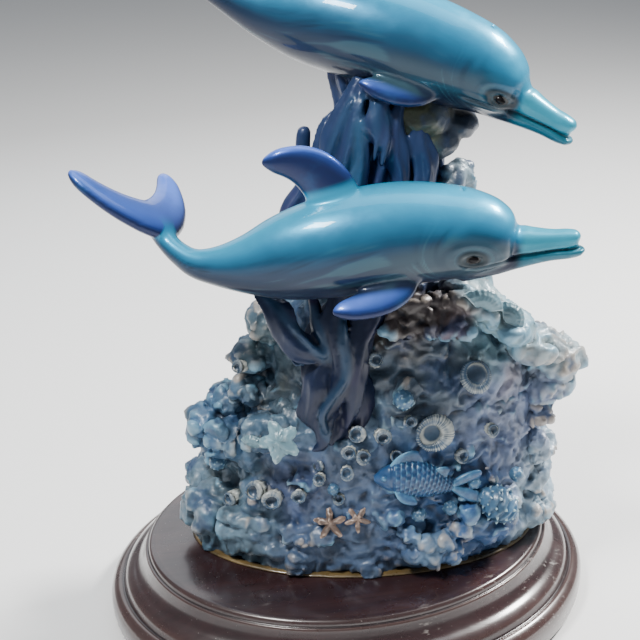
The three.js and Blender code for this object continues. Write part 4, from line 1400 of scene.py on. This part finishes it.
def dolphin_paint():
    """Airbrushed from aqua on the back to navy below, darkened further toward the belly and in the creases
    as painted shade, with violet-blue fins painted lighter where they face up as painted light, under
    clear gloss.
    """
    p = Paint("dolphin_lacquer", Metallic=0.25, Coat_Weight=0.5, Coat_Roughness=0.04, Coat_IOR=1.45,
              Specular_IOR_Level=0.15)
    cloud = p.noise(34, 3, (1, 1, 1.4))
    # Aqua on the back to navy below is the airbrushed countershading. It is darkened further toward the
    # belly as painted shade, for light falling from above.
    level = p.math("MULTIPLY_ADD", p.attribute("height"), 0.5, 0.35)
    level = p.math("MULTIPLY_ADD", cloud, 0.30, level)
    level = p.math("MULTIPLY_ADD", p.attribute("streak"), 0.06, level)
    body = p.ramp(level, (0.0, (0.008, 0.012, 0.034)), (0.26, (0.011, 0.022, 0.052)),
                  (0.46, (0.015, 0.036, 0.075)), (0.62, (0.017, 0.080, 0.155)),
                  (0.80, (0.016, 0.20, 0.37)), (0.98, (0.018, 0.33, 0.55)))
    taupe = p.math("MULTIPLY", p.by("cheek", 0.2, 1.0), 0.55)
    body = p.mix(taupe, body, (0.036, 0.075, 0.095))
    body = p.mix(p.by("streak", 0.1, 0.9, 0.0, 0.42), body, (0.050, 0.13, 0.16))
    body = p.mix(p.by("streak", -0.1, -0.9, 0.0, 0.45), body, (0.008, 0.028, 0.055))
    beak = p.math("MULTIPLY", p.by("along", 1.0, 1.06), p.by("height", -1.2, 0.2, 0.3, 0.75))
    body = p.mix(beak, body, (0.035, 0.34, 0.47))
    # Fins are violet-blue, painted lighter where they face up and darker where they face down: painted
    # light from above.
    fins = p.ramp(p.by("facing_up", -0.1, 1.0), (0.2, (0.012, 0.022, 0.085)),
                  (0.55, (0.022, 0.050, 0.22)), (0.9, (0.075, 0.165, 0.62)))
    fins = p.mix(p.range(p.noise(90, 4, (1, 1, 1)), 0.45, 0.75, 0.0, 0.4), fins, (0.020, 0.105, 0.27))
    colour = p.mix(p.attribute("fin"), body, fins)
    # Painted shade: darker in the creases and hollows.
    colour = p.mix(p.by("hollow", 0.06, 0.28, 0.0, 0.55), colour, (0.006, 0.012, 0.028))
    colour = p.mix(p.math("MULTIPLY", p.attribute("mouth"), 0.45), colour, (0.004, 0.012, 0.020))
    colour = p.mix(p.by("socket", 0.15, 0.9, 0.0, 0.75), colour, (0.008, 0.014, 0.018))
    colour = p.mix(p.attribute("eye"), colour, (0.0015, 0.0015, 0.002))
    rough = p.range(p.noise(260, 3), 0.35, 0.8, 0.30, 0.42)
    p.bump(p.noise(420, 2, (0.6, 1, 1)), 0.03)
    return p.finish(colour, rough)


def reef_paint():
    """Each region's blue-grey, a dark wash deepened by painted shade in the hollows, pale dry-brushing on
    the ridges.
    """
    p = Paint("reef_wash", Coat_Weight=0.22, Coat_Roughness=0.22, Metallic=0.1)
    tint = p.attribute("tint", "Color")
    vary = p.ramp(p.noise(130, 4), (0.28, 0.36), (0.72, 0.98))
    colour = p.mix(1.0, tint, vary, "MULTIPLY")
    colour = p.mix(p.range(p.noise(95, 3), 0.52, 0.70, 0.0, 0.6), colour, (0.012, 0.040, 0.13))
    olive = p.range(p.noise(70, 3, (1.3, 1, 1)), 0.58, 0.74, 0.0, 0.5)
    colour = p.mix(olive, colour, (0.085, 0.095, 0.075))
    # A dark wash in the hollows, deepened to near-black as painted shade.
    wash_and_shade = p.by("hollow", 0.05, 0.6, 0.0, 0.72)
    colour = p.mix(wash_and_shade, colour, (0.008, 0.014, 0.030))
    grain = p.noise(900, 2)
    raised = p.math("MULTIPLY_ADD", grain, -0.22, p.attribute("hollow"))
    raised = p.math("ADD", raised, p.attribute("bare"))
    brushed = p.range(raised, -0.34, -0.95, 0.0, 0.75)
    pale = p.mix(p.range(p.noise(60, 2), 0.45, 0.62), (0.19, 0.38, 0.52), (0.46, 0.40, 0.34))
    colour = p.mix(brushed, colour, pale)
    rough = p.by("hollow", -0.3, 0.3, 0.40, 0.62)
    p.bump(p.noise(1100, 5), 0.16)
    return p.finish(colour, rough)


def kelp_paint():
    """Dark violet-blue in a satin lacquer, with painted shade nearly black in the folds, painted
    highlights on the ridges and ribs, and painted light that makes the upper kelp lighter.
    """
    p = Paint("kelp_lacquer", Coat_Weight=0.25, Coat_Roughness=0.2, Metallic=0.15, Specular_IOR_Level=0.25)
    base = p.ramp(p.noise(60, 3, (1, 1, 0.4)), (0.3, (0.005, 0.009, 0.026)), (0.7, (0.009, 0.019, 0.056)))
    violet = p.range(p.noise(48, 2), 0.5, 0.7, 0.0, 0.6)
    base = p.mix(violet, base, (0.024, 0.016, 0.060))
    # Painted light: the upper kelp is made lighter than the lower.
    lighter = p.mix(1.0, base, (2.6, 2.6, 2.4), "MULTIPLY")
    base = p.mix(p.by("high", 0.0, 1.0), base, lighter)
    # The light-blue blade's own paint, and the ribs' painted highlights.
    teal = p.math("MULTIPLY", p.attribute("teal_and_rib_highlight"), 0.8)
    base = p.mix(teal, base, (0.030, 0.095, 0.18))
    # Painted highlights: paler on the raised ridges.
    ridge = p.math("MULTIPLY_ADD", p.noise(420, 3, (1, 1, 0.3)), 0.5, p.attribute("hollow"))
    colour = p.mix(p.range(ridge, 0.02, -0.45, 0.0, 0.6), base, (0.040, 0.060, 0.14))
    # Painted shade: nearly black in the folds and hollows.
    colour = p.mix(p.by("hollow", 0.05, 0.5, 0.0, 0.85), colour, (0.003, 0.004, 0.011))
    p.bump(p.noise(380, 3, (1, 1, 0.25)), 0.12)
    return p.finish(colour, p.range(p.noise(200, 3), 0.3, 0.7, 0.28, 0.46))


def shell_paint(name, base, rim, wash_and_shade=(0.012, 0.022, 0.045)):
    """A base colour, a dark wash deepened by painted shade in the hollows, and a pale rim."""
    p = Paint(name, Coat_Weight=0.30, Coat_Roughness=0.20, Metallic=0.1)
    vary = p.ramp(p.noise(150, 3), (0.3, 0.35), (0.7, 0.85))
    colour = p.mix(1.0, base, vary, "MULTIPLY")
    # A dark wash in the hollows, deepened as painted shade.
    colour = p.mix(p.by("hollow", 0.01, 0.22, 0.0, 0.9), colour, wash_and_shade)
    grain = p.math("MULTIPLY_ADD", p.noise(700, 2), -0.12, p.attribute("hollow"))
    colour = p.mix(p.range(grain, -0.08, -0.28, 0.0, 0.85), colour, rim)
    p.bump(p.noise(1300, 3), 0.09)
    return p.finish(colour, p.range(p.noise(300, 3), 0.3, 0.7, 0.30, 0.5))


def glue():
    p = Paint("amber_glue", Coat_Weight=0.6, Coat_Roughness=0.12)
    colour = p.ramp(p.noise(120, 3), (0.3, (0.045, 0.034, 0.016)), (0.55, (0.13, 0.085, 0.030)),
                    (0.75, (0.20, 0.14, 0.055)))
    p.bump(p.noise(500, 3), 0.1)
    return p.finish(colour, p.range(p.noise(240, 2), 0.3, 0.7, 0.25, 0.5))


def wood():
    """Dark red-brown stained wood under satin lacquer, with dust and a few scuffs, painted shade in the
    moulding's grooves and painted highlights on its beads.
    """
    p = Paint("mahogany_lacquer", Coat_Weight=0.8, Coat_Roughness=0.16, Coat_IOR=1.5)
    grain = p.noise(42, 6, (0.35, 3.2, 3.2), 0.6)
    pores = p.noise(420, 4, (0.10, 2.2, 2.2), 0.6)
    colour = p.ramp(grain, (0.25, (0.016, 0.008, 0.009)), (0.5, (0.030, 0.013, 0.014)),
                    (0.75, (0.046, 0.021, 0.020)))
    colour = p.mix(p.range(pores, 0.56, 0.72, 0.0, 0.6), colour, (0.012, 0.006, 0.007))
    # Painted shade in the moulding's grooves.
    colour = p.mix(p.by("hollow", 0.01, 0.12, 0.0, 0.75), colour, (0.008, 0.004, 0.005))
    # Painted highlights: lighter on the moulding's beads and edges.
    colour = p.mix(p.by("hollow", -0.02, -0.10, 0.0, 0.25), colour, (0.13, 0.075, 0.06))
    dust = p.range(p.noise(1900, 1), 0.74, 0.80, 0.0, 0.55)
    patch = p.range(p.noise(26, 2), 0.60, 0.70)
    scratch = p.range(p.noise(900, 3, (0.3, 1, 1)), 0.58, 0.70)
    scuff = p.math("MULTIPLY", patch, scratch)
    worn = p.math("MAXIMUM", dust, p.math("MULTIPLY", scuff, 0.5))
    colour = p.mix(worn, colour, (0.34, 0.31, 0.29))
    rough = p.math("MULTIPLY_ADD", worn, 0.4, p.range(p.noise(80, 3), 0.3, 0.7, 0.24, 0.36))
    p.bump(p.math("MULTIPLY_ADD", pores, 0.5, grain), 0.05)
    return p.finish(colour, rough)


def eye():
    """Near-black, with a little brown in it."""
    p = Paint("eye_lacquer", Coat_Weight=0.25, Coat_Roughness=0.03, Specular_IOR_Level=0.1)
    colour = p.ramp(p.noise(800, 2), (0.3, (0.0015, 0.0010, 0.0015)), (0.7, (0.006, 0.004, 0.005)))
    return p.finish(colour, p.range(p.noise(500, 2), 0.3, 0.7, 0.32, 0.42))


materials = {
    "eye": eye(),
    "dolphin": dolphin_paint(),
    "reef": reef_paint(),
    "kelp": kelp_paint(),
    "shell": shell_paint("shell_paint", (0.075, 0.19, 0.34), (0.38, 0.56, 0.62)),
    "fan_shell": shell_paint("fan_shell_paint", (0.24, 0.43, 0.52), (0.46, 0.60, 0.64),
                             (0.05, 0.10, 0.13)),
    "pale_shell": shell_paint("pale_shell_paint", (0.30, 0.21, 0.17), (0.66, 0.46, 0.34),
                              (0.04, 0.03, 0.04)),
    "fish": shell_paint("fish_paint", (0.016, 0.085, 0.235), (0.14, 0.37, 0.56)),
    "ring_shell": shell_paint("ring_shell_paint", (0.060, 0.125, 0.22), (0.50, 0.52, 0.48)),
    "glue": glue(),
    "wood": wood(),
}


# ------------------------------------------------------------------ the scene

camera()
studio()
floor()

plinth()
reef_piece("reef_base", 0.0, SPLIT, count=84, seed=3.0, replaces=("sculpture_casting",))
reef_piece("reef_top", SPLIT - SPLIT_LAP, MOUND[-1][0], count=54, seed=8.0)
kelp()
cup_corals()
ring_shells()
fan_shells()
fish()
conch()
starfish_pair()
place_small("sponge_balls", "shell", *(sponge_ball(*row) for row in SPONGE_BALLS))
glue_line()
dolphin("lower_dolphin", LOWER_DOLPHIN)
dolphin("upper_dolphin", UPPER_DOLPHIN)
